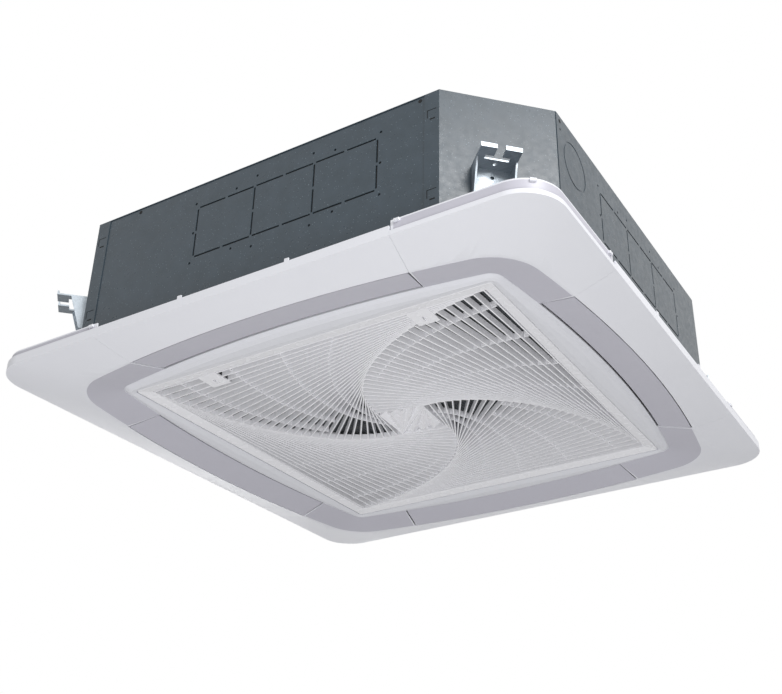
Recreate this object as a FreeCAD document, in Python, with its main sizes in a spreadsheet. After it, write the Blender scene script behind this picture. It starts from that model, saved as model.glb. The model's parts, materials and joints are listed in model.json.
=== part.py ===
import FreeCAD, Part
import math
import os
import re
import Sketcher
from FreeCAD import Rotation, Vector

# Ceiling cassette fan coil unit. Millimetres, +Z up, origin below the centre of the unit at the
# level of its lowest point, the front of the unit towards -Y.

SIZES = {
    # folded steel cabinet
    "body_size": 840, "body_height": 246, "body_lift": 5.5, "gauge": 1.2,
    "chamfer_wide": 122.5, "chamfer_narrow": 71, "post_flange": 24, "post_flange_inner": 20,
    "knockout_width": 109.6, "knockout_height": 91, "knockout_low": 110.5, "knockout_slot": 3,
    "knockout_bridge": 5, "knockout_shift_front": 31, "knockout_shift_right": 20,
    "round_knockout": 37, "round_knockout_x": 240, "round_knockout_z": 184,
    "pilot_radius": 2.2, "pilot_row": 9.5, "pilot_far_row": 19, "pilot_end": 170,
    "pilot_next": 91, "pilot_far": 52, "lid_ring": 143, "lid_ring_width": 13, "bead_start": 169,
    "bead_end": 353, "bead_width": 10, "window_inset": 6, "cut_margin": 5,
    # hanger brackets
    "bracket_width": 58, "bracket_reach": 48, "bracket_gauge": 2.5, "bracket_drop": 62,
    "bracket_level": 152.5, "bracket_shift": 13, "bracket_mouth": 12, "bracket_slot": 35,
    "bracket_slot_in": 23.5, "bracket_slot_out": 31, "bracket_lip": 7, "bracket_hole": 3,
    "bracket_hole_drop": 14, "bracket_hole_out": 14.4, "bracket_hole_low": 12, "web_reach": 26.4,
    "web_step": 24, "web_drop": 8, "web_end": 6,
    # insulation, drain pan and coil
    "liner_wall": 16, "liner_top": 15, "pan_height": 40, "pan_floor": 18, "pan_opening": 262,
    "pan_corner": 30, "trough_in": 268, "trough_out": 306, "trough_corner": 20,
    "duct_in": 345, "duct_reach": 242, "well_gap": 1,
    "coil_half": 302, "coil_depth": 30, "coil_corner": 60,
    "coil_open": 225, "coil_tube": 4.8, "coil_row_pitch": 24,
    "coil_first_row": 14, "bend_reach": 9, "end_plate": 1.5,
    "pipe_radius": 11, "pipe_bore": 9, "pipe_reach": 34, "union_radius": 13.2,
    "union_length": 30, "inlet_level": 132,
    "outlet_level": 190, "pipe_y": 240, "header_x": 287, "header_length": 56,
    "header_radius": 9.2,
    "pump_radius": 15, "pump_height": 46, "drain_radius": 12, "drain_bore": 10, "spigot_radius": 13,
    "drain_bend": 26, "drain_level": 236, "drain_y": 266, "float_radius": 7, "float_height": 12,
    "stem_radius": 3, "float_rise": 12,
    "plate_low": 110, "plate_high": 256, "plate_start": 216, "plate_end": 293,
    # fan
    "mouth_level": 66, "mouth_gauge": 2, "mouth_flare": 212, "mouth_throat": 160,
    "mouth_height": 42, "mouth_bend": 46.8, "motor_radius": 65, "motor_well": 87.75,
    "motor_low": 190, "motor_height": 75,
    "can_neck": 22.75, "can_drop": 6, "can_round": 8, "foot_radius": 9, "foot_place": 52,
    "shaft_radius": 5, "shaft_low": 156,
    "shaft_depth": 40, "shaft_end_gap": 2, "running_gap": 0.05, "wheel_radius": 235, "wheel_top": 238,
    "wheel_skin": 2.5, "cone_wall": 2, "wheel_cone_top": 104, "wheel_cone_low": 80, "wheel_cone_level": 183,
    "boss_radius": 14, "boss_low": 166, "shroud_inlet": 168, "shroud_level": 104,
    "shroud_rise": 18, "blade_count": 7, "blade_inner": 152, "blade_sweep": 34,
    "blade_curve": 150, "blade_gauge": 3, "blade_inset": 1, "nut_radius": 9, "nut_height": 8,
    # control box
    "box_width": 43, "box_length": 260, "box_height": 26, "box_wall": 2, "box_edge": 260.5,
    # panel
    "panel_size": 950, "panel_corner": 60, "panel_drop": 29.5, "rim_height": 14.8, "skin": 2.5,
    "channel_half": 423, "channel_bow": 2041, "channel_corner": 85, "channel_rise": 12.5,
    "bezel_half": 363, "bezel_bow": 2077, "bezel_corner": 22, "seam_outer": 257,
    "seam_middle": 247, "seam_inner": 233, "seam_at_channel": 420, "seam_at_bezel": 350,
    "seam_gap": 0.3, "rim_ledge": 0.6, "strip_margin": 7, "trough_step": 27, "trough_floor": 11,
    "rail_inset": 4, "rail_gauge": 2,
    "rail_height": 10.5, "clip_place": 90, "clip_length": 7, "clip_height": 5,
    "wall_inset": 16, "wall_low": 16.5, "inner_wall_low": 20, "intake_half": 301, "outlet_reach": 241.5,
    "outlet_lip": 1, "outlet_inset": 3, "clip_gauge": 2,
    "bolt_place": 339.4, "bolt_radius": 2.4, "bolt_head": 4.5, "tab_half": 18, "tab_gauge": 1.5,
    "tab_inner": 470, "bolt_crown": 3, "nut_rise": 4, "seal_inset": 2, "seal_edge": 3,
    "seal_half": 405, "seal_chamfer": 157,
    # flaps
    "flap_gap": 2, "flap_gap_inner": 3.5, "flap_end_gap": 2.8, "flap_axis": 380,
    "flap_axis_level": 18.5, "pin_radius": 2, "ear_place": 222, "ear_gauge": 3, "ear_half": 8,
    "pin_play": 0.06, "knuckle_radius": 3.2, "boss_size": 4, "end_wall_gauge": 3, "motor_can": 8.2,
    "motor_can_length": 17,
    # intake grille
    "crest_level": 6.5, "crest_half": 349, "shoulder_half": 357, "shoulder_level": 8.8,
    "seat_half": 321, "seat_corner": 7, "seat_level": 9.5, "inner_crest": 333,
    "bezel_wall": 12, "bezel_floor": 9.3, "bezel_step": 4.5,
    "grille_gap": 1.4, "hinge_place": 312, "hinge_level": 14, "hinge_ear": 5,
    "hinge_ear_place": 313, "pin_tuck": 0.3,
    "foot_in": 341, "foot_out": 347.5,
    "rim_inner": 302, "opening_corner": 2, "rim_wall": 3, "rim_top": 15, "guide_gauge": 2.5,
    "guide_inset": 2, "rim_level": 10, "slat_level": 13, "slat_depth": 10, "slat_gauge": 1.4,
    "slat_first": 300, "slat_pitch": 7, "slat_spread": 0.01, "swirl": 0.75, "hub_half": 41,
    "rib_count": 6, "rib_gauge": 1.6, "rib_height": 3.7, "pad_width": 35,
    "pad_depth": 38, "pad_gauge": 2.5, "finger_gap": 0.45, "finger_end": 1, "latch_tail": 6,
    "latch_nose": 3, "filter_corner": 4, "latch_place": 191, "latch_width": 16, "latch_gauge": 2.5,
    "latch_level": 15.8,
    "latch_tip": 319.5, "latch_travel": 7, "latch_finger": 278, "finger_width": 5,
    "finger_length": 5, "filter_half": 297.5, "filter_border": 8, "filter_height": 2.5,
    "filter_mesh": 0.8, "fit_gap": 0.3,
}

CORNERS = {"front_right": (1, -1), "back_right": (1, 1), "back_left": (-1, 1), "front_left": (-1, -1)}
CHAMFERS = {"front_right": "chamfer_wide", "back_right": "chamfer_wide",
            "back_left": "chamfer_wide", "front_left": "chamfer_narrow"}
TURNS = {"front": 0, "right": 90, "back": 180, "left": 270}

# Formulas that several pieces share.
HALF = "(body_size / 2)"
BEZEL_TOP = "(channel_rise + skin)"
BODY_LOW = "(panel_drop + body_lift)"
BODY_TOP = "(panel_drop + body_lift + body_height)"
PANEL_HALF = "(panel_size / 2)"
RIM_LOW = "(panel_drop - rim_height)"
DECK_LOW = "(panel_drop - skin)"
PAN_FLOOR = "(panel_drop + body_lift + pan_floor)"
PAN_TOP = "(panel_drop + body_lift + pan_height)"
LINER_INSET = "(2 * gauge + 0.2)"
COIL_HEIGHT = "(body_height - gauge - liner_top - pan_floor - fit_gap)"
OUTLET_EDGE = "-(channel_half - outlet_inset)"
SLAT_TOP = "(slat_level + slat_depth)"

doc = FreeCAD.newDocument("CassetteFanCoil")
sheet = doc.addObject("Spreadsheet::Sheet", "Sizes")
parts = []


def fill_sheet():
    """Write each driving dimension as a named cell."""
    for row, (alias, number) in enumerate(SIZES.items(), 1):
        sheet.set("A%d" % row, alias)
        sheet.set("B%d" % row, str(number))
        sheet.setAlias("B%d" % row, alias)
    doc.recompute()


def bound(formula):
    """Give a formula with each cell's name pointing at the sheet."""
    return re.sub(r"[a-z][a-z_]*", lambda word: "Sizes." + word.group()
                  if word.group() in SIZES else word.group(), str(formula))


def value(formula):
    """Work a formula out from the sheet."""
    return float(sheet.evalExpression(bound(formula)))


def minus(formula):
    return "-(%s)" % formula


# Bodies, sketches and features

def new_body(label):
    body = doc.addObject("PartDesign::Body", label)
    body.Label = label
    parts.append(body)
    return body


def origin_item(body, role):
    return next(item for item in body.Origin.OriginFeatures if item.Role == role)


def new_sketch(body, name, plane="XY_Plane", level="0"):
    """Add a sketch on one of the body's own planes, moved along that plane's normal."""
    sketch = body.newObject("Sketcher::SketchObject", name)
    sketch.AttachmentSupport = [(origin_item(body, plane), "")]
    sketch.MapMode = "FlatFace"
    sketch.setExpression("AttachmentOffset.Base.z", bound(level))
    return sketch


def fix(sketch, constraint, formula):
    """Add a dimension that follows its formula."""
    number = sketch.addConstraint(constraint)
    sketch.setExpression("Constraints[%d]" % number, bound(formula))


def add_edge(sketch, start, end, radius):
    """Add a line, or an arc whose radius is negative where it turns clockwise.

    Gives the edge's number and the numbers of its first and last point.
    """
    if not radius:
        return sketch.addGeometry(Part.LineSegment(start, end)), 1, 2
    size = abs(radius)
    chord = end - start
    rise = math.sqrt(max(size * size - chord.Length ** 2 / 4, 0))
    left = Vector(-chord.y, chord.x, 0).normalize()
    centre = (start + end) * 0.5 + left * math.copysign(rise, radius)
    first, last = (start, end) if radius > 0 else (end, start)
    angles = [math.atan2((p - centre).y, (p - centre).x) for p in (first, last)]
    arc = Part.ArcOfCircle(Part.Circle(centre, Vector(0, 0, 1), size), angles[0], angles[1])
    number = sketch.addGeometry(arc)
    return (number, 1, 2) if radius > 0 else (number, 2, 1)


def add_run(sketch, nodes, closed):
    """Add edges through (x, y) nodes; a third entry is the radius of the edge that follows."""
    nodes = [tuple(node) + ("0",) * (3 - len(node)) for node in nodes]
    points = [Vector(value(node[0]), value(node[1]), 0) for node in nodes]
    following = points[1:] + points[:1]
    edges = [add_edge(sketch, begin, end, value(node[2]))
             for begin, end, node in zip(points, following, nodes)][:None if closed else -1]
    meetings = list(zip(edges, edges[1:]))
    if closed:
        meetings.append((edges[-1], edges[0]))
    for before, after in meetings:
        sketch.addConstraint(Sketcher.Constraint("Coincident", before[0], before[2], after[0], after[1]))
    ends = [(edge, begin) for edge, begin, finish in edges]
    if not closed:
        ends.append((edges[-1][0], edges[-1][2]))
    for (edge, end), point, node in zip(ends, points, nodes):
        fix(sketch, Sketcher.Constraint("DistanceX", -1, 1, edge, end, point.x), node[0])
        fix(sketch, Sketcher.Constraint("DistanceY", -1, 1, edge, end, point.y), node[1])
        radius = value(node[2])
        if radius:
            fix(sketch, Sketcher.Constraint("Radius", edge, abs(radius)), "abs(%s)" % node[2])


def add_loop(sketch, nodes):
    add_run(sketch, nodes, True)


def add_path(sketch, nodes):
    add_run(sketch, nodes, False)


def add_box(sketch, x_low, x_high, y_low, y_high):
    add_loop(sketch, [(x_low, y_low), (x_high, y_low), (x_high, y_high), (x_low, y_high)])


def add_circle(sketch, x, y, radius):
    centre = Vector(value(x), value(y), 0)
    number = sketch.addGeometry(Part.Circle(centre, Vector(0, 0, 1), value(radius)))
    fix(sketch, Sketcher.Constraint("DistanceX", -1, 1, number, 3, centre.x), x)
    fix(sketch, Sketcher.Constraint("DistanceY", -1, 1, number, 3, centre.y), y)
    fix(sketch, Sketcher.Constraint("Radius", number, value(radius)), radius)


def add_rounded_square(sketch, half, corner):
    """Add a square with straight sides and round corners about the origin."""
    inner = "(%s - (%s))" % (half, corner)
    out, back = minus(half), minus(inner)
    add_loop(sketch, [(back, out), (inner, out, corner), (half, back), (half, inner, corner),
                      (inner, half), (back, half, corner), (out, inner), (out, back, corner)])


def add_bowed_square(sketch, half, bow, corner):
    """Add a square whose sides bow outwards with one radius and run tangent into its corners."""
    far = "(%s - (%s))" % (bow, half)
    near = "(%s - (%s))" % (bow, corner)
    place = "((sqrt(2 * (%s)^2 - (%s)^2) - (%s)) / 2)" % (near, far, far)
    share = "((%s) / (%s))" % (bow, near)
    outer = "((%s + %s) * %s - %s)" % (place, far, share, far)
    inner = "(%s * %s)" % (place, share)
    out, back = minus(outer), minus(inner)
    add_loop(sketch, [(back, out, bow), (inner, out, corner), (outer, back, bow),
                      (outer, inner, corner), (inner, outer, bow), (back, outer, corner),
                      (out, inner, bow), (out, back, corner)])


def extrude(body, kind, name, sketch, length, backwards):
    feature = body.newObject("PartDesign::" + kind, name)
    feature.Profile = sketch
    feature.setExpression("Length", bound(length))
    feature.Reversed = backwards
    sketch.Visibility = False
    return feature


def pad(body, name, sketch, length, backwards=False):
    return extrude(body, "Pad", name, sketch, length, backwards)


def pocket(body, name, sketch, length, backwards=False):
    """Cut against the sketch's normal, or along it where backwards is set."""
    return extrude(body, "Pocket", name, sketch, length, backwards)


def loft(body, name, sections, cut=False):
    kind = "PartDesign::SubtractiveLoft" if cut else "PartDesign::AdditiveLoft"
    feature = body.newObject(kind, name)
    feature.Profile = sections[0]
    feature.Sections = sections[1:]
    feature.Ruled = True
    return feature


def turn_profile(body, name, sketch):
    feature = body.newObject("PartDesign::Revolution", name)
    feature.Profile = sketch
    feature.ReferenceAxis = (origin_item(body, "Z_Axis"), [""])
    feature.Angle = 360
    return feature


def repeat_round(body, name, features, copies):
    pattern = body.newObject("PartDesign::PolarPattern", name)
    pattern.Originals = features
    pattern.Axis = (origin_item(body, "Z_Axis"), [""])
    pattern.Angle = 360
    pattern.setExpression("Occurrences", bound(copies))
    body.Tip = pattern
    return pattern


def repeat_along(body, name, features, axis, length, copies):
    pattern = body.newObject("PartDesign::LinearPattern", name)
    pattern.Originals = features
    pattern.Direction = (origin_item(body, axis), [""])
    pattern.setExpression("Length", bound(length))
    pattern.Occurrences = copies
    body.Tip = pattern
    return pattern


def mirror(body, name, features, plane):
    pattern = body.newObject("PartDesign::Mirrored", name)
    pattern.Originals = features
    pattern.MirrorPlane = (origin_item(body, plane), [""])
    body.Tip = pattern
    return pattern


def place(item, x="0", y="0", z="0", turn=0, axis=(0, 0, 1)):
    """Put a sub-part where its formulas say, turned about an axis."""
    item.Placement = FreeCAD.Placement(Vector(0, 0, 0), Rotation(Vector(*axis), turn))
    for letter, formula in zip("xyz", (x, y, z)):
        item.setExpression("Placement.Base." + letter, bound(formula))


# Part primitives

def cylinder(label, radius, height, x, y, z, turn=0, axis=(0, 0, 1)):
    item = doc.addObject("Part::Cylinder", label)
    item.setExpression("Radius", bound(radius))
    item.setExpression("Height", bound(height))
    place(item, x, y, z, turn, axis)
    return item


def block(label, x_size, y_size, z_size, x, y, z):
    item = doc.addObject("Part::Box", label)
    for side, formula in (("Length", x_size), ("Width", y_size), ("Height", z_size)):
        item.setExpression(side, bound(formula))
    place(item, x, y, z)
    return item


def cut(label, base, tool):
    item = doc.addObject("Part::Cut", label)
    item.Base = base
    item.Tool = tool
    return item


def fuse(label, items):
    item = doc.addObject("Part::MultiFuse", label)
    item.Shapes = items
    return item


def keep(item, label):
    """List a finished sub-part under its own name."""
    item.Label = label
    parts.append(item)
    return item


# Cabinet

def octagon(inset):
    """Give the corners of the cabinet's plan, moved inwards by an inset."""
    half = "(%s - %s)" % (HALF, inset)
    nodes = []
    for name, (x_sign, y_sign) in CORNERS.items():
        short = "(%s - (%s - 0.5858 * %s))" % (half, CHAMFERS[name], inset)
        along = ["%d * %s" % (x_sign, half), "%d * %s" % (y_sign, short)]
        across = ["%d * %s" % (x_sign, short), "%d * %s" % (y_sign, half)]
        nodes += [along, across] if x_sign * y_sign > 0 else [across, along]
    return nodes


def make_top_plate():
    """Steel lid with a pressed ring round the motor and four pressed beads."""
    body = new_body("top_plate")
    sheet_plan = new_sketch(body, "LidPlan", level=BODY_TOP)
    add_loop(sheet_plan, octagon("0"))
    pad(body, "Lid", sheet_plan, "gauge", backwards=True)
    ring = new_sketch(body, "RingPlan", level=BODY_TOP)
    add_circle(ring, "0", "0", "lid_ring")
    add_circle(ring, "0", "0", "lid_ring - lid_ring_width")
    pocket(body, "PressedRing", ring, "gauge / 2")
    bead = new_sketch(body, "BeadPlan", level=BODY_TOP)
    add_box(bead, "bead_start", "bead_end", "-bead_width / 2", "bead_width / 2")
    first = pocket(body, "PressedBead", bead, "gauge / 2")
    repeat_round(body, "PressedBeads", [first], "4")


def knockout_slots(body, shift):
    """Cut the broken outlines of three rectangular knock-outs in a row."""
    left = "(%s - 1.5 * knockout_width)" % shift
    low = "(%s + knockout_low)" % BODY_LOW
    halves = ((0, 0.5), (0.5, 1))
    rows = new_sketch(body, "RowSlots", "XZ_Plane", HALF)
    for level in (low, "(%s + knockout_height)" % low):
        for begin, end in halves:
            add_box(rows, "%s + %s * knockout_width + knockout_bridge / 2" % (left, begin),
                    "%s + %s * knockout_width - knockout_bridge / 2" % (left, end),
                    "%s - knockout_slot / 2" % level, "%s + knockout_slot / 2" % level)
    row = pocket(body, "RowSlotCut", rows, "3 * gauge")
    repeat_along(body, "RowSlotCuts", [row], "X_Axis", "2 * knockout_width", 3)
    posts = new_sketch(body, "PostSlots", "XZ_Plane", HALF)
    for begin, end in halves:
        add_box(posts, "%s - knockout_slot / 2" % left, "%s + knockout_slot / 2" % left,
                "%s + %s * knockout_height + knockout_bridge / 2" % (low, begin),
                "%s + %s * knockout_height - knockout_bridge / 2" % (low, end))
    post = pocket(body, "PostSlotCut", posts, "3 * gauge")
    repeat_along(body, "PostSlotCuts", [post], "X_Axis", "3 * knockout_width", 4)


def pilot_holes(body, shift):
    """Drill the small holes round the knock-outs where a duct collar is screwed on."""
    low = "(%s + knockout_low)" % BODY_LOW
    high = "(%s + knockout_height)" % low
    middle = "(%s + knockout_height / 2)" % low
    holes = new_sketch(body, "PilotPlan", "XZ_Plane", HALF)
    for side in ("-1", "1"):
        for reach in ("pilot_end", "pilot_next"):
            for level in (low + " - pilot_row", high + " + pilot_row"):
                add_circle(holes, "%s + %s * %s" % (shift, side, reach), level, "pilot_radius")
        for level in (low + " - pilot_far_row", high + " + pilot_far_row"):
            add_circle(holes, "%s + %s * pilot_far" % (shift, side), level, "pilot_radius")
        add_circle(holes, "%s + %s * pilot_end" % (shift, side), middle, "pilot_radius")
    pocket(body, "Pilots", holes, "3 * gauge")


def make_side_panel(side, inset, left_chamfer, right_chamfer, shift, round_knockout, service):
    """One wall of the cabinet, drawn as the front wall and turned to its own side."""
    body = new_body("side_panel_" + side)
    outer = "(%s - %s)" % (HALF, inset)
    low, high = BODY_LOW, "(%s - gauge)" % BODY_TOP
    plan = new_sketch(body, "WallPlan", "XZ_Plane", outer)
    add_box(plan, "-(%s - %s - %s * 0.5)" % (HALF, left_chamfer, inset),
            "%s - %s - %s * 0.5" % (HALF, right_chamfer, inset), low, high)
    pad(body, "Wall", plan, "gauge", backwards=True)
    knockout_slots(body, shift)
    pilot_holes(body, shift)
    if round_knockout:
        ring = new_sketch(body, "RoundPlan", "XZ_Plane", outer)
        level = "%s + round_knockout_z" % BODY_LOW
        add_circle(ring, "-round_knockout_x", level, "round_knockout + knockout_slot / 2")
        add_circle(ring, "-round_knockout_x", level, "round_knockout - knockout_slot / 2")
        pocket(body, "RoundKnockout", ring, "gauge / 2")
    if service:
        window = new_sketch(body, "WindowPlan", "XZ_Plane", HALF)
        add_box(window, "-plate_end + window_inset", "-plate_start - window_inset",
                "plate_low + window_inset", "plate_high - window_inset")
        pocket(body, "PipeWindow", window, "3 * gauge")
    place(body, turn=TURNS[side])


def make_corner_post(name):
    """Folded post: chamfer face, a flange outside the front or back wall, one inside the side wall."""
    x_sign, y_sign = CORNERS[name]
    chamfer = CHAMFERS[name]
    edge = "(%s - %s)" % (HALF, chamfer)
    nodes = [(edge + " - post_flange", HALF), (edge, HALF), (HALF + " - gauge", edge + " + gauge"),
             (HALF + " - gauge", edge + " + gauge - post_flange_inner"),
             (HALF + " - 2 * gauge", edge + " + gauge - post_flange_inner"),
             (HALF + " - 2 * gauge", edge + " + 0.5858 * gauge"),
             (edge + " - 0.4142 * gauge", HALF + " - gauge"),
             (edge + " - post_flange", HALF + " - gauge")]
    body = new_body("corner_post_" + name)
    plan = new_sketch(body, "PostPlan", level=BODY_LOW)
    add_loop(plan, [("%d * (%s)" % (x_sign, x), "%d * (%s)" % (y_sign, y)) for x, y in nodes])
    pad(body, "Post", plan, "body_height - gauge")


def make_bracket(name):
    """Zinc-plated hanger with an open T-slot for the hanging rod, bent lips and side webs."""
    body = new_body("hanger_bracket_" + name)
    wide, thick = "bracket_width / 2", "bracket_gauge"
    plan = new_sketch(body, "ShelfPlan")
    mouth, slot = "bracket_mouth / 2", "bracket_slot / 2"
    right = [(wide, "0"), (wide, "bracket_reach"), (mouth, "bracket_reach"),
             (mouth, "bracket_slot_out"), (slot, "bracket_slot_out"), (slot, "bracket_slot_in")]
    left = [(minus(x), y) for x, y in reversed(right)]
    add_loop(plan, right + left)
    add_circle(plan, "0", "bracket_hole_out", "bracket_hole")
    pad(body, "Shelf", plan, thick)
    lips = new_sketch(body, "LipPlan")
    for sign in ("", "-"):
        ends = sorted((sign + "(%s)" % mouth, sign + "(%s)" % wide), key=value)
        add_box(lips, ends[0], ends[1], "bracket_reach - bracket_gauge", "bracket_reach")
    pad(body, "Lips", lips, "bracket_lip")
    back = new_sketch(body, "BackPlan", "XZ_Plane")
    add_box(back, minus(wide), wide, "-bracket_drop", "bracket_gauge")
    add_circle(back, "0", "-bracket_hole_drop", "bracket_hole")
    add_circle(back, "0", "-bracket_drop + bracket_hole_low", "bracket_hole")
    pad(body, "Back", back, thick, backwards=True)
    web = new_sketch(body, "WebPlan", "YZ_Plane", wide)
    add_loop(web, [("0", "0"), ("web_reach", "0"), ("web_step", "-web_drop"),
                   ("web_drop", "-bracket_drop + web_end"), ("0", "-bracket_drop + web_end")])
    first = pad(body, "Web", web, thick, backwards=True)
    mirror(body, "Webs", [first], "YZ_Plane")
    x_sign, y_sign = CORNERS[name]
    turn = math.degrees(math.atan2(y_sign, x_sign)) - 90
    shift = "bracket_shift * 0.7071" if name == "front_right" else "0"
    reach = "(%s - %s / 2)" % (HALF, CHAMFERS[name])
    place(body, "%d * %s - %s" % (x_sign, reach, shift), "%d * %s - %s" % (y_sign, reach, shift),
          "bracket_level", turn)


def make_pipe_plate():
    """Service plate on the left wall that the water pipes and the drain come through."""
    body = new_body("pipe_plate")
    plan = new_sketch(body, "PlatePlan", "YZ_Plane", minus(HALF))
    add_box(plan, "plate_start", "plate_end", "plate_low", "plate_high")
    add_circle(plan, "pipe_y", "inlet_level", "pipe_radius + fit_gap")
    add_circle(plan, "pipe_y", "outlet_level", "pipe_radius + fit_gap")
    add_circle(plan, "drain_y", "drain_level", "drain_radius + fit_gap")
    pad(body, "Plate", plan, "gauge", backwards=True)


def make_cabinet():
    make_top_plate()
    shifts = {"front": "knockout_shift_front", "right": "knockout_shift_right"}
    make_side_panel("front", "gauge", "chamfer_narrow", "chamfer_wide", shifts["front"], False, False)
    make_side_panel("right", "0", "chamfer_wide", "chamfer_wide", shifts["right"], True, False)
    make_side_panel("back", "gauge", "chamfer_wide", "chamfer_wide", shifts["front"], False, False)
    make_side_panel("left", "0", "chamfer_wide", "chamfer_narrow", shifts["right"], False, True)
    for name in CORNERS:
        make_corner_post(name)
        make_bracket(name)
    make_pipe_plate()


# Insulation, drain pan, coil and pipes

def make_liner():
    """Foam box that lines the cabinet, open below, with holes for the motor and the pipes."""
    body = new_body("insulation_liner")
    outer = new_sketch(body, "LinerPlan", level=BODY_LOW)
    add_loop(outer, octagon(LINER_INSET))
    pad(body, "Liner", outer, "body_height - gauge")
    hollow = new_sketch(body, "HollowPlan", level=BODY_LOW)
    add_loop(hollow, octagon("(2 * gauge + liner_wall)"))
    pocket(body, "Hollow", hollow, "body_height - gauge - liner_top", backwards=True)
    hole = new_sketch(body, "MotorHole", level=BODY_TOP)
    add_circle(hole, "0", "0", "motor_well")
    pocket(body, "MotorWell", hole, "liner_top + 2 * gauge")
    pipes = new_sketch(body, "PipeHoles", "YZ_Plane", minus(HALF))
    add_box(pipes, "plate_start + window_inset", "plate_end - window_inset", "plate_low + window_inset",
            "plate_high - window_inset")
    pocket(body, "PipeOpening", pipes, "liner_wall + 8 * gauge", backwards=True)


def make_drain_pan():
    """Foam drain pan with a trough under the coil and a discharge slot on each side."""
    body = new_body("drain_pan")
    plan = new_sketch(body, "PanPlan", level=BODY_LOW)
    add_loop(plan, octagon("(2 * gauge + liner_wall + fit_gap)"))
    add_rounded_square(plan, "pan_opening", "pan_corner")
    pad(body, "Pan", plan, "pan_height")
    trough = new_sketch(body, "TroughPlan", level=PAN_TOP)
    add_rounded_square(trough, "trough_out", "trough_corner")
    add_rounded_square(trough, "trough_in", "pan_corner")
    pocket(body, "Trough", trough, "pan_height - pan_floor")
    duct = new_sketch(body, "DuctPlan", level=PAN_TOP)
    add_box(duct, "-duct_reach", "duct_reach", "duct_in", HALF)
    first = pocket(body, "Duct", duct, "2 * pan_height")
    repeat_round(body, "Ducts", [first], "4")
    well = new_sketch(body, "BoltWellPlan", level=BODY_LOW)
    add_circle(well, "bolt_place", "bolt_place", "bolt_head + well_gap")
    first = pocket(body, "BoltWell", well, "nut_rise + well_gap", backwards=True)
    repeat_round(body, "BoltWells", [first], "4")


def make_coil():
    """Finned block bent round three corners, open at the back left, with its end plates."""
    body = new_body("coil_fins")
    plan = new_sketch(body, "CoilPlan", level=PAN_FLOOR)
    add_rounded_square(plan, "coil_half", "coil_corner")
    add_rounded_square(plan, "(coil_half - coil_depth)", "(coil_corner - coil_depth)")
    pad(body, "Block", plan, COIL_HEIGHT)
    gap = new_sketch(body, "OpenCorner", level=PAN_FLOOR)
    add_box(gap, "-coil_half - cut_margin", "-coil_open", "coil_open", "coil_half + cut_margin")
    pocket(body, "Opening", gap, COIL_HEIGHT, backwards=True)
    plates = new_body("coil_end_plates")
    back_plate = new_sketch(plates, "BackPlatePlan", level=PAN_FLOOR)
    add_box(back_plate, "-coil_open - end_plate", "-coil_open", "coil_half - coil_depth", "coil_half")
    add_box(back_plate, "-coil_half", "-(coil_half - coil_depth)", "coil_open",
            "coil_open + end_plate")
    pad(plates, "Plates", back_plate, COIL_HEIGHT)


def make_return_bends():
    """Copper U-bends in pairs of rows on the coil's back end."""
    body = new_body("coil_return_bends")
    face = "-(coil_open + end_plate)"
    bend = new_sketch(body, "BendPath", "XZ_Plane", "-(coil_half - coil_depth / 2 + coil_tube)")
    centre = "(%s + coil_first_row + coil_row_pitch / 2)" % PAN_FLOOR
    outer, inner = "(coil_row_pitch / 2 + coil_tube)", "(coil_row_pitch / 2 - coil_tube)"
    reach = "(%s - bend_reach)" % face
    nodes = [(face, "%s + %s" % (centre, outer))]
    nodes += [(reach, "%s + %s" % (centre, outer), outer), ("%s - %s" % (reach, outer), centre, outer)]
    nodes += [(reach, "%s - %s" % (centre, outer)), (face, "%s - %s" % (centre, outer))]
    nodes += [(face, "%s - %s" % (centre, inner))]
    nodes += [(reach, "%s - %s" % (centre, inner), minus(inner))]
    nodes += [("%s - %s" % (reach, inner), centre, minus(inner))]
    nodes += [(reach, "%s + %s" % (centre, inner)), (face, "%s + %s" % (centre, inner))]
    add_loop(bend, nodes)
    first = pad(body, "Bend", bend, "2 * coil_tube")
    repeat_along(body, "Bends", [first], "Z_Axis", "6 * coil_row_pitch", 4)


def make_water_pipe(label, level):
    """Upright header on the coil's left end, its stub through the wall and the pipe union."""
    start, reach = minus(HALF + " + pipe_reach"), "(%s + pipe_reach - header_x)" % HALF
    along_x = dict(turn=90, axis=(0, 1, 0))
    stub = cylinder(label + "_stub", "pipe_radius", reach, start, "pipe_y", level, **along_x)
    bore = cylinder(label + "_bore", "pipe_bore", reach + " - pipe_bore", start, "pipe_y", level,
                    **along_x)
    header = cylinder(label + "_header", "header_radius", "header_length", "-header_x", "pipe_y",
                      level + " - header_length / 2")
    union = cylinder(label + "_union", "union_radius", "union_length", start, "pipe_y", level, **along_x)
    solid = fuse(label + "_solid", [stub, header, union])
    keep(cut(label, solid, bore), label)


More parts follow.
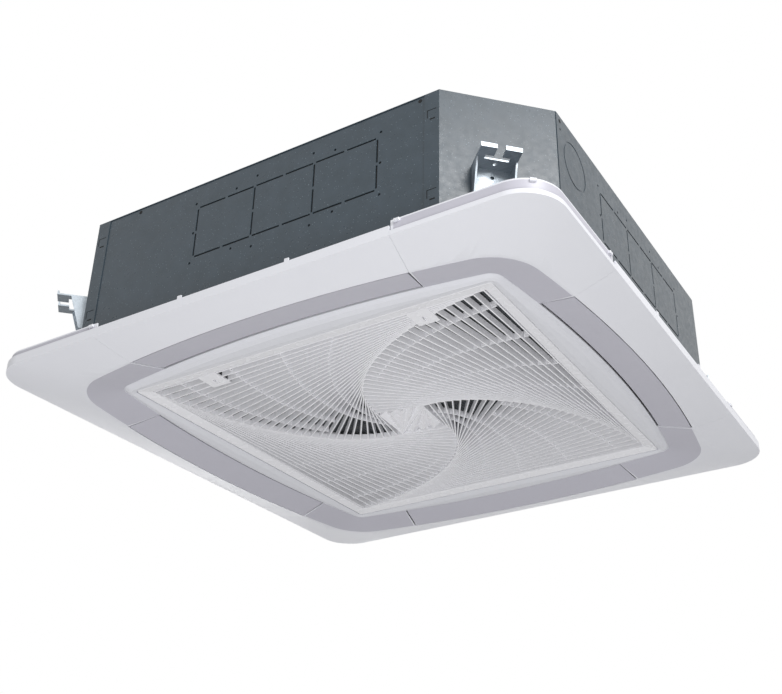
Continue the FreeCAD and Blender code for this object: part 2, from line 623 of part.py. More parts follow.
def make_drain():
    """Pump and float switch in the coil's open corner, and the raised drain pipe."""
    keep(cylinder("Pump", "pump_radius", "pump_height", "-header_x", "drain_y", PAN_FLOOR),
         "drain_pump")
    keep(cylinder("Stem", "stem_radius", "2 * float_height + float_rise", "-header_x", "pipe_y",
                  PAN_FLOOR), "float_stem")
    float_body = new_body("pump_float")
    ring = new_sketch(float_body, "FloatPlan", level=PAN_FLOOR + " + fit_gap")
    add_circle(ring, "-header_x", "pipe_y", "float_radius")
    add_circle(ring, "-header_x", "pipe_y", "stem_radius + running_gap")
    pad(float_body, "Float", ring, "float_height")
    pipe = new_body("drain_pipe")
    bottom = "(%s + pump_height)" % PAN_FLOOR
    path = new_sketch(pipe, "PipePath", "XZ_Plane", "-drain_y")
    add_path(path, [("-header_x", bottom), ("-header_x", "drain_level - drain_bend", "drain_bend"),
                    ("-header_x - drain_bend", "drain_level"),
                    (minus(HALF + " + pipe_reach"), "drain_level")])
    spigot = new_sketch(pipe, "SpigotPlan", "YZ_Plane", minus(HALF + " + pipe_reach"))
    add_circle(spigot, "drain_y", "drain_level", "spigot_radius")
    pad(pipe, "Spigot", spigot, "union_length")
    for kind, radius in (("AdditivePipe", "drain_radius"), ("SubtractivePipe", "drain_bore")):
        ring = new_sketch(pipe, kind + "Ring", level=bottom)
        add_circle(ring, "-header_x", "drain_y", radius)
        feature = pipe.newObject("PartDesign::" + kind, kind)
        feature.Profile = ring
        feature.Spine = (path, ["Edge1", "Edge2", "Edge3"])


def make_cooling():
    make_liner()
    make_drain_pan()
    make_coil()
    make_return_bends()
    make_water_pipe("water_inlet", "inlet_level")
    make_water_pipe("water_outlet", "outlet_level")
    make_drain()


# Fan

def make_bell_mouth():
    """Moulded plate with a flared inlet ring that leads the air into the wheel."""
    body = new_body("bell_mouth")
    plate = new_sketch(body, "PlatePlan", level="mouth_level")
    add_rounded_square(plate, "(pan_opening - fit_gap)", "(pan_corner - fit_gap)")
    add_circle(plate, "0", "0", "mouth_flare")
    pad(body, "Plate", plate, "mouth_gauge")
    flare = new_sketch(body, "FlareProfile", "XZ_Plane")
    bend = "mouth_bend"
    top = "mouth_level + mouth_height"
    add_loop(flare, [("mouth_flare", "mouth_level", minus(bend)), ("mouth_throat", top),
                     ("mouth_throat + mouth_gauge", top, bend + " - mouth_gauge"),
                     ("mouth_flare + mouth_gauge", "mouth_level + mouth_gauge"),
                     ("mouth_flare + mouth_gauge", "mouth_level")])
    turn_profile(body, "Flare", flare)


def make_motor():
    """Motor can with a bearing bore and ribs, on four rubber feet below the lid."""
    body = new_body("fan_motor")
    profile = new_sketch(body, "CanProfile", "XZ_Plane")
    low, high, bore = "motor_low", "motor_low + motor_height", "shaft_radius + running_gap"
    add_loop(profile, [(bore, low), ("can_neck", low), ("can_neck", low + " + can_drop"),
                       ("motor_radius - can_round", low + " + can_drop", "can_round"),
                       ("motor_radius", low + " + can_drop + can_round"),
                       ("motor_radius", high), ("0", high), ("0", low + " + shaft_depth"),
                       (bore, low + " + shaft_depth")])
    turn_profile(body, "Can", profile)
    feet = new_body("motor_feet")
    plan = new_sketch(feet, "FootPlan", level="motor_low + motor_height")
    add_circle(plan, "foot_place", "0", "foot_radius")
    first = pad(feet, "Foot", plan, "%s - gauge - motor_low - motor_height" % BODY_TOP)
    repeat_round(feet, "Feet", [first], "4")


def make_wheel():
    """Centrifugal wheel: dished back plate and backward-curved blades, with the shroud's seat."""
    body = new_body("fan_impeller")
    plate = new_sketch(body, "PlateProfile", "XZ_Plane")
    top, floor, bore = "wheel_top", "wheel_cone_level", "shaft_radius + running_gap"
    lean = " + cone_wall"
    add_loop(plate, [("wheel_radius", top), ("wheel_cone_top", top),
                     ("wheel_cone_low", floor + " + wheel_skin"), (bore, floor + " + wheel_skin"),
                     (bore, "boss_low"), ("boss_radius", "boss_low"), ("boss_radius", floor),
                     ("wheel_cone_low" + lean, floor), ("wheel_cone_top" + lean, top + " - wheel_skin"),
                     ("wheel_radius", top + " - wheel_skin")])
    turn_profile(body, "BackPlate", plate)
    flat = "(shroud_level + shroud_rise)"
    seat = "(%s + wheel_skin)" % flat
    blade = new_sketch(body, "BladePlan", level=seat)
    tip, sweep = "(wheel_radius - blade_inset)", "blade_sweep * 1 deg"
    slip = "blade_gauge / blade_inner * 180 deg / pi"
    add_loop(blade, [("blade_inner", "0", "blade_curve"),
                     ("%s * cos(%s)" % (tip, sweep), "%s * sin(%s)" % (tip, sweep)),
                     ("%s * cos(%s + %s)" % (tip, sweep, slip), "%s * sin(%s + %s)" % (tip, sweep, slip),
                      "-(blade_curve + blade_gauge)"),
                     ("blade_inner * cos(%s)" % slip, "blade_inner * sin(%s)" % slip)])
    first = pad(body, "Blade", blade, "wheel_top - wheel_skin / 2 - %s" % seat)
    repeat_round(body, "Blades", [first], "blade_count")
    make_shroud(flat)
    make_shaft_and_nut()


def make_shroud(flat):
    """Flared ring welded on to the blades' lower edges, at the level of its flat part."""
    body = new_body("fan_shroud")
    shroud = new_sketch(body, "ShroudProfile", "XZ_Plane")
    turned = "shroud_inlet + wheel_skin + shroud_rise"
    add_loop(shroud, [("shroud_inlet", "shroud_level"),
                      ("shroud_inlet + wheel_skin", "shroud_level", "-shroud_rise"),
                      (turned, flat), ("wheel_radius", flat), ("wheel_radius", flat + " + wheel_skin"),
                      (turned, flat + " + wheel_skin", "shroud_rise + wheel_skin")])
    turn_profile(body, "Shroud", shroud)


def make_shaft_and_nut():
    """Shaft that stands in the motor's bearing, and the hexagon nut that holds the wheel on it."""
    shaft_top = "(motor_low + shaft_depth - shaft_end_gap)"
    keep(cylinder("Shaft", "shaft_radius", shaft_top + " - shaft_low", "0", "0", "shaft_low"),
         "fan_shaft")
    nut = new_body("wheel_nut")
    plan = new_sketch(nut, "NutPlan", level="boss_low")
    add_loop(plan, [("nut_radius * cos(%d deg)" % angle, "nut_radius * sin(%d deg)" % angle)
                    for angle in range(0, 360, 60)])
    add_circle(plan, "0", "0", "shaft_radius + running_gap")
    pad(nut, "Nut", plan, "nut_height", backwards=True)


def make_control_box():
    """Folded tray beside the inlet ring with a lid that screws on from below."""
    top = "mouth_level"
    body = new_body("control_box")
    plan = new_sketch(body, "BoxPlan", level=top)
    add_box(plan, "-box_edge", "-box_edge + box_width", "-box_length / 2", "box_length / 2")
    pad(body, "Box", plan, "box_height", backwards=True)
    hollow = new_sketch(body, "BoxHollow", level=top + " - box_height")
    add_box(hollow, "-box_edge + box_wall", "-box_edge + box_width - box_wall",
            "-box_length / 2 + box_wall", "box_length / 2 - box_wall")
    pocket(body, "Hollow", hollow, "box_height - box_wall", backwards=True)
    lid = new_body("control_box_lid")
    cover = new_sketch(lid, "LidPlan", level=top + " - box_height")
    add_box(cover, "-box_edge", "-box_edge + box_width", "-box_length / 2", "box_length / 2")
    pad(lid, "Lid", cover, "gauge", backwards=True)


def make_fan():
    make_bell_mouth()
    make_motor()
    make_wheel()
    make_control_box()


# Panel

def channel(sketch, inset="0"):
    """Add the outer edge of the air channel, moved inwards by an inset."""
    add_bowed_square(sketch, "(channel_half - (%s))" % inset, "(channel_bow - (%s))" % inset,
                     "(channel_corner - (%s))" % inset)


def bezel(sketch, inset="0"):
    """Add the inner edge of the air channel, moved inwards by an inset."""
    add_bowed_square(sketch, "(bezel_half - (%s))" % inset, "(bezel_bow - (%s))" % inset,
                     "(bezel_corner - (%s))" % inset)


def level_sketch(body, name, level, outline, *sizes):
    """Add a flat sketch that holds one outline."""
    sketch = new_sketch(body, name, level=level)
    outline(sketch, *sizes)
    return sketch


def rim_body(label):
    """Start a piece of the panel with its upright rim, its sloping face and the trough behind."""
    body = new_body(label)
    rim_size = (PANEL_HALF, "panel_corner")
    rim = level_sketch(body, "RimPlan", RIM_LOW, add_rounded_square, *rim_size)
    pad(body, "Rim", rim, "rim_height")
    start = level_sketch(body, "SlopeStart", RIM_LOW, add_rounded_square, *rim_size)
    end = level_sketch(body, "SlopeEnd", "0", channel)
    loft(body, "Slope", [start, end])
    troughs = (("Trough", "skin", "rim_height - skin - rim_ledge"),
               ("DeepTrough", "trough_step", "panel_drop - trough_floor"))
    for name, inset, depth in troughs:
        plan = new_sketch(body, name + "Plan", level="panel_drop")
        add_rounded_square(plan, "(%s - %s)" % (PANEL_HALF, inset), "(panel_corner - skin)")
        channel(plan, "-skin")
        pocket(body, name, plan, depth)
    return body


def corner_nodes(x_sign, y_sign, gap):
    """Give the plan of one corner cover, widened by a gap at its seams."""
    far = "(%s + cut_margin)" % PANEL_HALF
    seams = [("seam_inner", "seam_inner"), ("seam_at_bezel", "seam_inner"),
             ("seam_at_channel", "seam_middle"), (far, "seam_outer")]
    near = [(x if x == far or x.startswith("seam_at") else "(%s - %s)" % (x, gap),
             "(%s - %s)" % (y, gap)) for x, y in seams]
    half = near + [(far, far)]
    nodes = half + [(y, x) for x, y in reversed(near[1:])]
    nodes = [("%d * %s" % (x_sign, x), "%d * %s" % (y_sign, y)) for x, y in nodes]
    return nodes if x_sign * y_sign > 0 else nodes[::-1]


def corner_openings(body):
    """Leave the four corners of the panel free for their covers."""
    for name, (x_sign, y_sign) in CORNERS.items():
        plan = new_sketch(body, "Corner_" + name)
        add_loop(plan, corner_nodes(x_sign, y_sign, "seam_gap"))
        pocket(body, "CornerCut_" + name, plan, DECK_LOW, backwards=True)
    near, far = "(channel_half + strip_margin)", "(%s + cut_margin)" % PANEL_HALF
    seam = "(seam_outer - seam_gap)"
    slant = "(seam_outer - seam_middle) / (%s - seam_at_channel)" % far
    start = "(%s - (%s - %s) * %s)" % (seam, far, near, slant)
    strip = new_sketch(body, "RimStrip", level=DECK_LOW)
    add_loop(strip, [(start, near), (near, near), (near, start), (far, seam), (far, far), (seam, far)])
    first = pocket(body, "RimStripCut", strip, "2 * skin", backwards=True)
    repeat_round(body, "RimStripCuts", [first], "4")


def duct_walls(body):
    """Raise the inner wall of the air channel and the end walls that carry the flap pins.

    Each end wall has a foot that stands on the bezel and holds it.
    """
    ring = new_sketch(body, "WallPlan", level="inner_wall_low")
    bezel(ring, "wall_inset")
    bezel(ring, "(wall_inset + skin)")
    pad(body, "InnerWall", ring, "panel_drop - inner_wall_low")
    boss = "sqrt(boss_size^2 - (flap_axis_level - wall_low)^2)"
    walls = []
    for name, start in (("Right", "outlet_reach"), ("Left", "-outlet_reach - end_wall_gauge")):
        plan = new_sketch(body, name + "WallPlan", "YZ_Plane", start)
        add_loop(plan, [(OUTLET_EDGE, "wall_low"),
                        ("-(flap_axis + %s)" % boss, "wall_low", "boss_size"),
                        ("-(flap_axis - %s)" % boss, "wall_low"), ("-foot_out", "wall_low"),
                        ("-foot_out", BEZEL_TOP), ("-foot_in", BEZEL_TOP),
                        ("-foot_in", DECK_LOW), (OUTLET_EDGE, DECK_LOW)])
        add_circle(plan, "-flap_axis", "flap_axis_level", "pin_radius + pin_play")
        walls.append(pad(body, name + "Wall", plan, "end_wall_gauge"))
    repeat_round(body, "EndWalls", walls, "4")


def make_panel_frame():
    """Moulded frame of the panel: rim, deck, air channels, duct walls and hinge seats."""
    body = rim_body("panel_frame")
    inside = level_sketch(body, "ChannelPlan", "0", channel)
    pocket(body, "Channel", inside, DECK_LOW, backwards=True)
    corner_openings(body)
    duct_walls(body)
    outlet = new_sketch(body, "OutletPlan", level="panel_drop")
    add_box(outlet, minus("outlet_reach"), "outlet_reach", OUTLET_EDGE,
            "-(bezel_half - wall_inset + outlet_lip)")
    first = pocket(body, "Outlet", outlet, "skin")
    repeat_round(body, "Outlets", [first], "4")
    intake = new_sketch(body, "IntakePlan", level="panel_drop")
    add_rounded_square(intake, "intake_half", "seat_corner")
    pocket(body, "Intake", intake, "skin")
    holes = new_sketch(body, "BoltHole", level="panel_drop")
    add_circle(holes, "bolt_place", "bolt_place", "bolt_radius + fit_gap")
    hole = pocket(body, "BoltHoleCut", holes, "2 * skin")
    repeat_round(body, "BoltHoles", [hole], "4")
    clip = new_sketch(body, "ClipPlan", level="panel_drop")
    for sign in ("", "-"):
        ends = sorted((sign + "(clip_place)", sign + "(clip_place + clip_length)"), key=value)
        add_box(clip, ends[0], ends[1], minus(PANEL_HALF), "-(%s - clip_gauge)" % PANEL_HALF)
    tab = pad(body, "Clip", clip, "clip_height")
    repeat_round(body, "Clips", [tab], "4")


def make_corner_cover(name, turn):
    """Corner moulding: rim, sloping face, end of the air channel and an upright rail."""
    body = rim_body("corner_cover_" + name)
    top = "(%s - fit_gap)" % DECK_LOW
    core = level_sketch(body, "CorePlan", "0", channel)
    pocket(body, "Core", core, "panel_drop", backwards=True)
    crown = level_sketch(body, "CrownPlan", top, channel, "-(skin + fit_gap)")
    pocket(body, "Crown", crown, "2 * skin", backwards=True)
    rail = new_sketch(body, "RailPlan", level=RIM_LOW + " + skin")
    for inset in ("rail_inset", "rail_inset + rail_gauge"):
        add_rounded_square(rail, "(%s - (%s))" % (PANEL_HALF, inset), "(panel_corner - (%s))" % inset)
    pad(body, "Rail", rail, "rim_height - skin + rail_height")
    channel_skin(body, ("0", "-seam_gap"), "0")
    around = new_sketch(body, "AroundPlan", level="-cut_margin")
    add_rounded_square(around, PANEL_HALF + " + 2 * cut_margin", "panel_corner")
    add_loop(around, corner_nodes(1, -1, "0"))
    pocket(body, "Around", around, "panel_drop + rail_height + 2 * cut_margin", backwards=True)
    place(body, turn=turn)


def channel_skin(body, insets, start_level):
    """Add the skin that rises across the air channel, from the outer inset to the inner one."""
    outer, inner = insets
    end_level = "(%s + channel_rise)" % start_level
    base = level_sketch(body, "SkinBase", start_level, channel, outer)
    pad(body, "SkinFoot", base, "skin")
    top_start = level_sketch(body, "SkinTopStart", start_level + " + skin", channel, outer)
    top_end = level_sketch(body, "SkinTopEnd", end_level + " + skin", bezel, inner)
    loft(body, "SkinTop", [top_start, top_end])
    low_start = level_sketch(body, "SkinLowStart", start_level, channel, outer)
    low_end = level_sketch(body, "SkinLowEnd", end_level, bezel, inner)
    loft(body, "SkinLow", [low_start, low_end], cut=True)
    hole = level_sketch(body, "SkinHole", start_level, bezel, inner)
    pocket(body, "SkinOpening", hole, "channel_rise + 2 * skin", backwards=True)


def ear_level(place_formula):
    """Give the level in the middle of the flap's skin at its ear."""
    bow = "ear_place^2 / (2 * channel_bow)"
    slope = "channel_rise / (channel_half - bezel_half)"
    return "((channel_half - %s - (%s)) * %s + skin / 2)" % (bow, place_formula, slope)


def make_flap(name, turn):
    """Air flap with its two ears and pins, drawn at the front and turned to its side."""
    body = new_body("flap_" + name)
    slope = "(channel_rise / (channel_half - bezel_half))"
    channel_skin(body, ("flap_gap", "-flap_gap_inner"), "(flap_gap * %s)" % slope)
    around = new_sketch(body, "AroundPlan", level="-cut_margin")
    add_rounded_square(around, PANEL_HALF, "panel_corner")
    corners = [("(seam_inner - flap_end_gap)", "-seam_at_bezel + 2 * cut_margin"),
               ("(seam_inner - flap_end_gap)", "-seam_at_bezel"),
               ("(seam_middle - flap_end_gap)", "-seam_at_channel"),
               ("(seam_middle - flap_end_gap)", "-seam_at_channel - 2 * cut_margin")]
    left = [("-" + x, y) for x, y in corners]
    add_loop(around, left + corners[::-1])
    pocket(body, "Around", around, "2 * panel_drop", backwards=True)
    ear = new_sketch(body, "EarPlan", "YZ_Plane", "ear_place")
    out, back = "(flap_axis + ear_half)", "(flap_axis - ear_half)"
    crown = "knuckle_radius"
    add_loop(ear, [(minus(out), ear_level(out)), (minus(back), ear_level(back)),
                   ("-(flap_axis - %s)" % crown, "flap_axis_level", crown),
                   ("-flap_axis", "flap_axis_level + " + crown, crown),
                   ("-(flap_axis + %s)" % crown, "flap_axis_level")])
    first = pad(body, "Ear", ear, "ear_gauge")
    pin = new_sketch(body, "PinPlan", "YZ_Plane", "ear_place")
    add_circle(pin, "-flap_axis", "flap_axis_level", "pin_radius")
    second = pad(body, "Pin", pin, "outlet_reach + end_wall_gauge - fit_gap - ear_place")
    mirror(body, "EarPair", [first, second], "YZ_Plane")
    place(body, turn=turn)


def make_panel_fixings():
    """Seal, bolts and steel tabs that hold the panel to the cabinet, and the flap motors."""
    seal = new_body("panel_seal")
    plan = new_sketch(seal, "SealPlan", level="panel_drop")
    short = "(seal_half - seal_chamfer)"
    corner = [("seal_half", short), (short, "seal_half")]
    nodes = corner + [("-" + x, y) for x, y in corner[::-1]]
    nodes += [("-" + x, "-" + y) for x, y in corner] + [(x, "-" + y) for x, y in corner[::-1]]
    add_loop(plan, nodes)
    add_rounded_square(plan, "(intake_half + seal_inset)", "seat_corner")
    pad(seal, "Seal", plan, "body_lift")
    slot = new_sketch(seal, "SealSlot", level="panel_drop")
    add_box(slot, "-duct_reach", "duct_reach", "duct_in", "seal_half - seal_edge")
    first = pocket(seal, "SealSlotCut", slot, "body_lift", backwards=True)
    repeat_round(seal, "SealSlots", [first], "4")
    bolts = new_body("panel_bolts")
    head = level_sketch(bolts, "HeadPlan", DECK_LOW, add_circle, "bolt_place", "bolt_place", "bolt_head")
    crown = pad(bolts, "Head", head, "bolt_crown", backwards=True)
    stem = level_sketch(bolts, "ShankPlan", DECK_LOW, add_circle, "bolt_place", "bolt_place",
                        "bolt_radius")
    shank = pad(bolts, "Shank", stem, "skin + body_lift + nut_rise")
    repeat_round(bolts, "Bolts", [crown, shank], "4")
    can = new_body("flap_motors")
    disc = new_sketch(can, "CanPlan", "YZ_Plane", "outlet_reach + end_wall_gauge")
    add_circle(disc, "-flap_axis", "flap_axis_level", "motor_can")
    first = pad(can, "Can", disc, "motor_can_length")
    repeat_round(can, "Cans", [first], "4")


def make_panel_tab(name):
    """Steel tab with a nut, under the corner post, that a panel bolt screws into."""
    x_sign, y_sign = CORNERS[name]
    body = new_body("panel_tab_" + name)
    out = "(bolt_place * 1.41421)"
    reach = "((2 * %s - %s) * 0.70711)" % (HALF, CHAMFERS[name])
    plan = new_sketch(body, "TabPlan", level=BODY_LOW)
    add_box(plan, "-tab_half", "tab_half", "tab_inner", reach)
    add_circle(plan, "0", out, "bolt_radius + fit_gap")
    pad(body, "Tab", plan, "tab_gauge", backwards=True)
    nut = new_sketch(body, "NutPlan", level=BODY_LOW)
    add_circle(nut, "0", out, "bolt_head")
    add_circle(nut, "0", out, "bolt_radius + fit_gap")
    pad(body, "Nut", nut, "nut_rise")
    place(body, turn=math.degrees(math.atan2(y_sign, x_sign)) - 90)


# Intake grille

def make_bezel():
    """Frame round the intake: a rounded ridge with a seat for the grille and two hinge lugs."""
    body = new_body("grille_bezel")
    lip = "(channel_rise)"
    edge = level_sketch(body, "EdgeOutline", lip, bezel)
    pad(body, "Edge", edge, "skin")
    steps = (("Shoulder", lip, "0", "shoulder_level", "(bezel_half - shoulder_half)"),
             ("Ridge", "shoulder_level", "(bezel_half - shoulder_half)", "crest_level",
              "(bezel_half - crest_half)"))
    for name, top, top_inset, low, low_inset in steps:
        upper = level_sketch(body, name + "Top", top, bezel, top_inset)
        lower = level_sketch(body, name + "Low", low, bezel, low_inset)
        loft(body, name, [upper, lower])
    seat = level_sketch(body, "SeatPlan", "0", add_rounded_square, "seat_half", "seat_corner")
    pocket(body, "Seat", seat, "channel_rise + 2 * skin", backwards=True)
    round_corner = "(seat_corner + inner_crest - seat_half)"
    low = level_sketch(body, "InnerLow", "crest_level", add_rounded_square, "inner_crest", round_corner)
    high = level_sketch(body, "InnerHigh", "seat_level", add_rounded_square, "seat_half", "seat_corner")
    loft(body, "InnerSlope", [low, high], cut=True)
    recess = new_sketch(body, "RecessPlan", level="channel_rise + skin")
    add_bowed_square(recess, "(bezel_half - bezel_wall)", "(bezel_bow - bezel_wall)",
                     "(bezel_corner - bezel_wall)")
    add_rounded_square(recess, "(seat_half + bezel_step)", "(seat_corner + bezel_step)")
    pocket(body, "Recess", recess, "channel_rise + skin - bezel_floor")
    lug = new_sketch(body, "LugPlan", "YZ_Plane", "seat_half")
    add_knuckle(lug, "boss_size", "(%s - skin)" % BEZEL_TOP)
    add_circle(lug, "hinge_place", "hinge_level", "pin_radius + pin_play")
    first = pad(body, "Lug", lug, "bezel_step")
    bore = new_sketch(body, "LugBorePlan", "YZ_Plane", "seat_half + bezel_step")
    add_circle(bore, "hinge_place", "hinge_level", "pin_radius + pin_play")
    second = pocket(body, "LugBore", bore, "2 * bezel_step")
    mirror(body, "Lugs", [first, second], "YZ_Plane")


def add_knuckle(sketch, radius, foot):
    """Add an upright outline with a round crown about the grille's hinge axis, from a foot's level."""
    near, far = "(hinge_place - %s)" % radius, "(hinge_place + %s)" % radius
    add_loop(sketch, [(near, foot), (far, foot), (far, "hinge_level", radius),
                      ("hinge_place", "hinge_level + " + radius, radius), (near, "hinge_level")])


def turned(x, y, angle):
    return Vector(x * math.cos(angle) - y * math.sin(angle), x * math.sin(angle) + y * math.cos(angle), 0)


def swirl_angle(half):
    """Give how far a ring of slats is turned; the turn grows with the logarithm of its size."""
    return value("swirl") * math.log(half / value("rim_inner"))


def slat_halves():
    """Give the half width of each square ring of slats, from the rim to the hub."""
    sizes, half = [], value("slat_first")
    pitch, spread, last = value("slat_pitch"), value("slat_spread"), value("hub_half")
    while half > last + pitch / 2:
        sizes.append(half)
        half -= pitch + spread * half
    return sizes


def square_wire(half, angle):
    corners = [turned(x * half, y * half, angle) for x, y in ((-1, -1), (1, -1), (1, 1), (-1, 1))]
    return Part.makePolygon(corners + corners[:1])


def make_slat_rings():
    """Nested square rings of upright slats, each turned a little further than the one outside it."""
    gauge, level, depth = value("slat_gauge"), value("slat_level"), value("slat_depth")
    rings = []
    for half in slat_halves():
        angle = swirl_angle(half)
        outer, inner = (Part.Face(square_wire(half + side * gauge / 2, angle)) for side in (1, -1))
        rings.append(outer.cut(inner).extrude(Vector(0, 0, depth)))
    item = doc.addObject("Part::Feature", "SlatRings")
    item.Shape = Part.makeCompound(rings)
    item.Placement.Base.z = level
    return item


def make_ribs():
    """Thin spiral ribs across the slats, at a steady share of each slat's length."""
    first, last = value("slat_first") - value("slat_gauge"), value("hub_half")
    count, gauge = int(value("rib_count")), value("rib_gauge")
    steps = 9
    sizes = [first * (last / first) ** (step / steps) for step in range(steps + 1)]
    ribs = []
    for side in range(4):
        for number in range(count):
            share = (number + 0.5) / count * 2 - 1
            line = [turned(size * share, -size, swirl_angle(size) + side * math.pi / 2)
                    for size in sizes]
            ribs.append(strip(line, gauge, value("rib_height")))
    item = doc.addObject("Part::Feature", "Ribs")
    item.Shape = Part.makeCompound(ribs)
    item.Placement.Base.z = value(SLAT_TOP)
    keep(item, "grille_ribs")


def strip(line, gauge, height):
    """Give an upright wall of even thickness along a flat line of points."""
    ends = [line[0] * 2 - line[1]] + line + [line[-1] * 2 - line[-2]]
    along = [(after - before).normalize() for before, after in zip(ends, ends[2:])]
    sideways = [Vector(-step.y, step.x, 0) * (gauge / 2) for step in along]
    left = [point + side for point, side in zip(line, sideways)]
    right = [point - side for point, side in zip(line, sideways)]
    outline = left + right[::-1] + left[:1]
    return Part.Face(Part.makePolygon(outline)).extrude(Vector(0, 0, height))


def make_grille_rim():
    """Border of the slats: sloping face, upright wall, latch guides and the two hinge pins."""
    body = new_body("GrilleRim")
    parts.remove(body)
    edge, corner = "(seat_half - grille_gap)", "(seat_corner - grille_gap)"
    wall_outer, wall_corner = "(rim_inner + rim_wall)", "(opening_corner + rim_wall)"
    plate = level_sketch(body, "PlatePlan", "rim_level", add_rounded_square, edge, corner)
    pad(body, "Plate", plate, "rim_top - rim_level")
    low = level_sketch(body, "FaceLow", "rim_level", add_rounded_square, edge, corner)
    high = level_sketch(body, "FaceHigh", "slat_level", add_rounded_square, "rim_inner", "opening_corner")
    loft(body, "SlopedFace", [low, high], cut=True)
    hole = level_sketch(body, "HolePlan", "rim_level", add_rounded_square, "rim_inner", "opening_corner")
    pocket(body, "Hole", hole, "2 * slat_depth", backwards=True)
    wall = new_sketch(body, "WallPlan", level="slat_level")
    add_rounded_square(wall, wall_outer, wall_corner)
    add_rounded_square(wall, "rim_inner", "opening_corner")
    pad(body, "Wall", wall, "slat_depth")
    guide = new_sketch(body, "GuidePlan", level="slat_level")
    near, far = "(latch_width / 2 + fit_gap)", "(latch_width / 2 + fit_gap + guide_gauge)"
    for sign in ("", "-"):
        for inner, outer in ((near, far), ("-" + near, "-" + far)):
            ends = sorted(("%slatch_place + %s" % (sign, inner), "%slatch_place + %s" % (sign, outer)),
                          key=value)
            add_box(guide, ends[0], ends[1], "-(seat_half - guide_inset)", "-(rim_inner + rim_wall / 2)")
    pad(body, "Guides", guide, "slat_depth")
    notch = new_sketch(body, "NotchPlan", level="latch_level - fit_gap")
    for sign in ("", "-"):
        add_box(notch, "%slatch_place - %s" % (sign, near), "%slatch_place + %s" % (sign, near),
                "-(rim_inner + 2 * cut_margin)", "-(rim_inner - cut_margin)")
    pocket(body, "Notch", notch, "slat_depth", backwards=True)
    ear = new_sketch(body, "EarPlan", "YZ_Plane", "hinge_ear_place")
    add_knuckle(ear, "knuckle_radius", "slat_level")
    first = pad(body, "Ear", ear, "hinge_ear")
    pin = new_sketch(body, "PinPlan", "YZ_Plane", "hinge_ear_place")
    add_circle(pin, "hinge_place", "hinge_level", "pin_radius")
    second = pad(body, "Pin", pin, "seat_half + bezel_step - pin_tuck - hinge_ear_place")
    mirror(body, "EarPair", [first, second], "YZ_Plane")
    return body


def latch_pads(rings):
    """Cut the slats away over the latches and close the gap with a slotted plate."""
    solids, cutters = [], []
    slot_length = "(finger_length + latch_travel + 2 * finger_gap)"
    for sign in ("", "-"):
        left = "%slatch_place - pad_width / 2" % sign
        room = block("PadRoom" + sign, "pad_width", "pad_depth", "3 * slat_depth", left, "-rim_inner",
                     "slat_level - slat_depth")
        plate = block("PadPlate" + sign, "pad_width", "pad_depth", "pad_gauge", left, "-rim_inner",
                      "slat_level")
        slot = block("PadSlot" + sign, "finger_width + 2 * finger_gap", slot_length, "3 * pad_gauge",
                     "%slatch_place - finger_width / 2 - finger_gap" % sign,
                     "-latch_finger - %s / 2" % slot_length, "slat_level - pad_gauge")
        solids.append(cut("Pad" + sign, plate, slot))
        cutters.append(room)
    return cut("OpenRings", rings, fuse("PadRooms", cutters)), solids


def make_swirl_grille():
    """One moulding: rim, nested slat rings, latch pads and the hub."""
    rings, pads = latch_pads(make_slat_rings())
    hub = new_body("GrilleHub")
    parts.remove(hub)
    plan = new_sketch(hub, "HubPlan", level="slat_level")
    angle = swirl_angle(value("hub_half"))
    corner = turned(value("hub_half"), value("hub_half"), angle)
    add_loop(plan, [(str(x), str(y)) for x, y in
                    ((corner.x, corner.y), (-corner.y, corner.x), (-corner.x, -corner.y),
                     (corner.y, -corner.x))])
    pad(hub, "Hub", plan, "slat_depth")
    keep(fuse("SwirlGrille", [make_grille_rim(), rings, hub] + pads), "swirl_grille")


def make_latch(side, sign):
    """Sliding latch bar with a finger that reaches down through its slot."""
    body = new_body("grille_latch_" + side)
    middle = "%slatch_place" % sign
    bar = new_sketch(body, "BarPlan", level="latch_level")
    rest = "(latch_finger - latch_travel / 2)"
    add_loop(bar, [("%s - latch_width / 2" % middle, "-(%s - latch_tail)" % rest),
                   ("%s - latch_width / 2" % middle, "-latch_tip + latch_nose"),
                   ("%s - latch_width / 2 + latch_nose" % middle, "-latch_tip"),
                   ("%s + latch_width / 2 - latch_nose" % middle, "-latch_tip"),
                   ("%s + latch_width / 2" % middle, "-latch_tip + latch_nose"),
                   ("%s + latch_width / 2" % middle, "-(%s - latch_tail)" % rest)])
    pad(body, "Bar", bar, "latch_gauge")
    finger = new_sketch(body, "FingerPlan", level="latch_level + latch_gauge / 2")
    add_box(finger, "%s - finger_width / 2" % middle, "%s + finger_width / 2" % middle,
            "-(%s) - finger_length / 2" % rest, "-(%s) + finger_length / 2" % rest)
    pad(body, "Finger", finger, "latch_level + latch_gauge / 2 - slat_level - finger_end",
        backwards=True)


def make_filter():
    """Washable filter: a frame with a cross bar and a mesh, laid on the ribs."""
    level = SLAT_TOP + " + rib_height + fit_gap"
    frame = new_body("filter_frame")
    plan = new_sketch(frame, "FramePlan", level=level)
    add_rounded_square(plan, "filter_half", "filter_corner")
    filter_windows(plan)
    pad(frame, "Frame", plan, "filter_height")
    mesh = new_body("filter_mesh")
    sheet_plan = new_sketch(mesh, "MeshPlan", level=level)
    filter_windows(sheet_plan)
    pad(mesh, "Mesh", sheet_plan, "filter_mesh")


def filter_windows(sketch):
    """Add the four windows of the filter's frame."""
    inner, bar = "(filter_half - filter_border)", "(filter_border / 2)"
    spans = (("-" + inner, "-" + bar), (bar, inner))
    for x_low, x_high in spans:
        for y_low, y_high in spans:
            add_box(sketch, x_low, x_high, y_low, y_high)


def make_panel():
    make_panel_frame()
    for turn, name in enumerate(("front_right", "back_right", "back_left", "front_left")):
        make_corner_cover(name, 90 * turn)
        make_panel_tab(name)
    for name, turn in TURNS.items():
        make_flap(name, turn)
    make_panel_fixings()


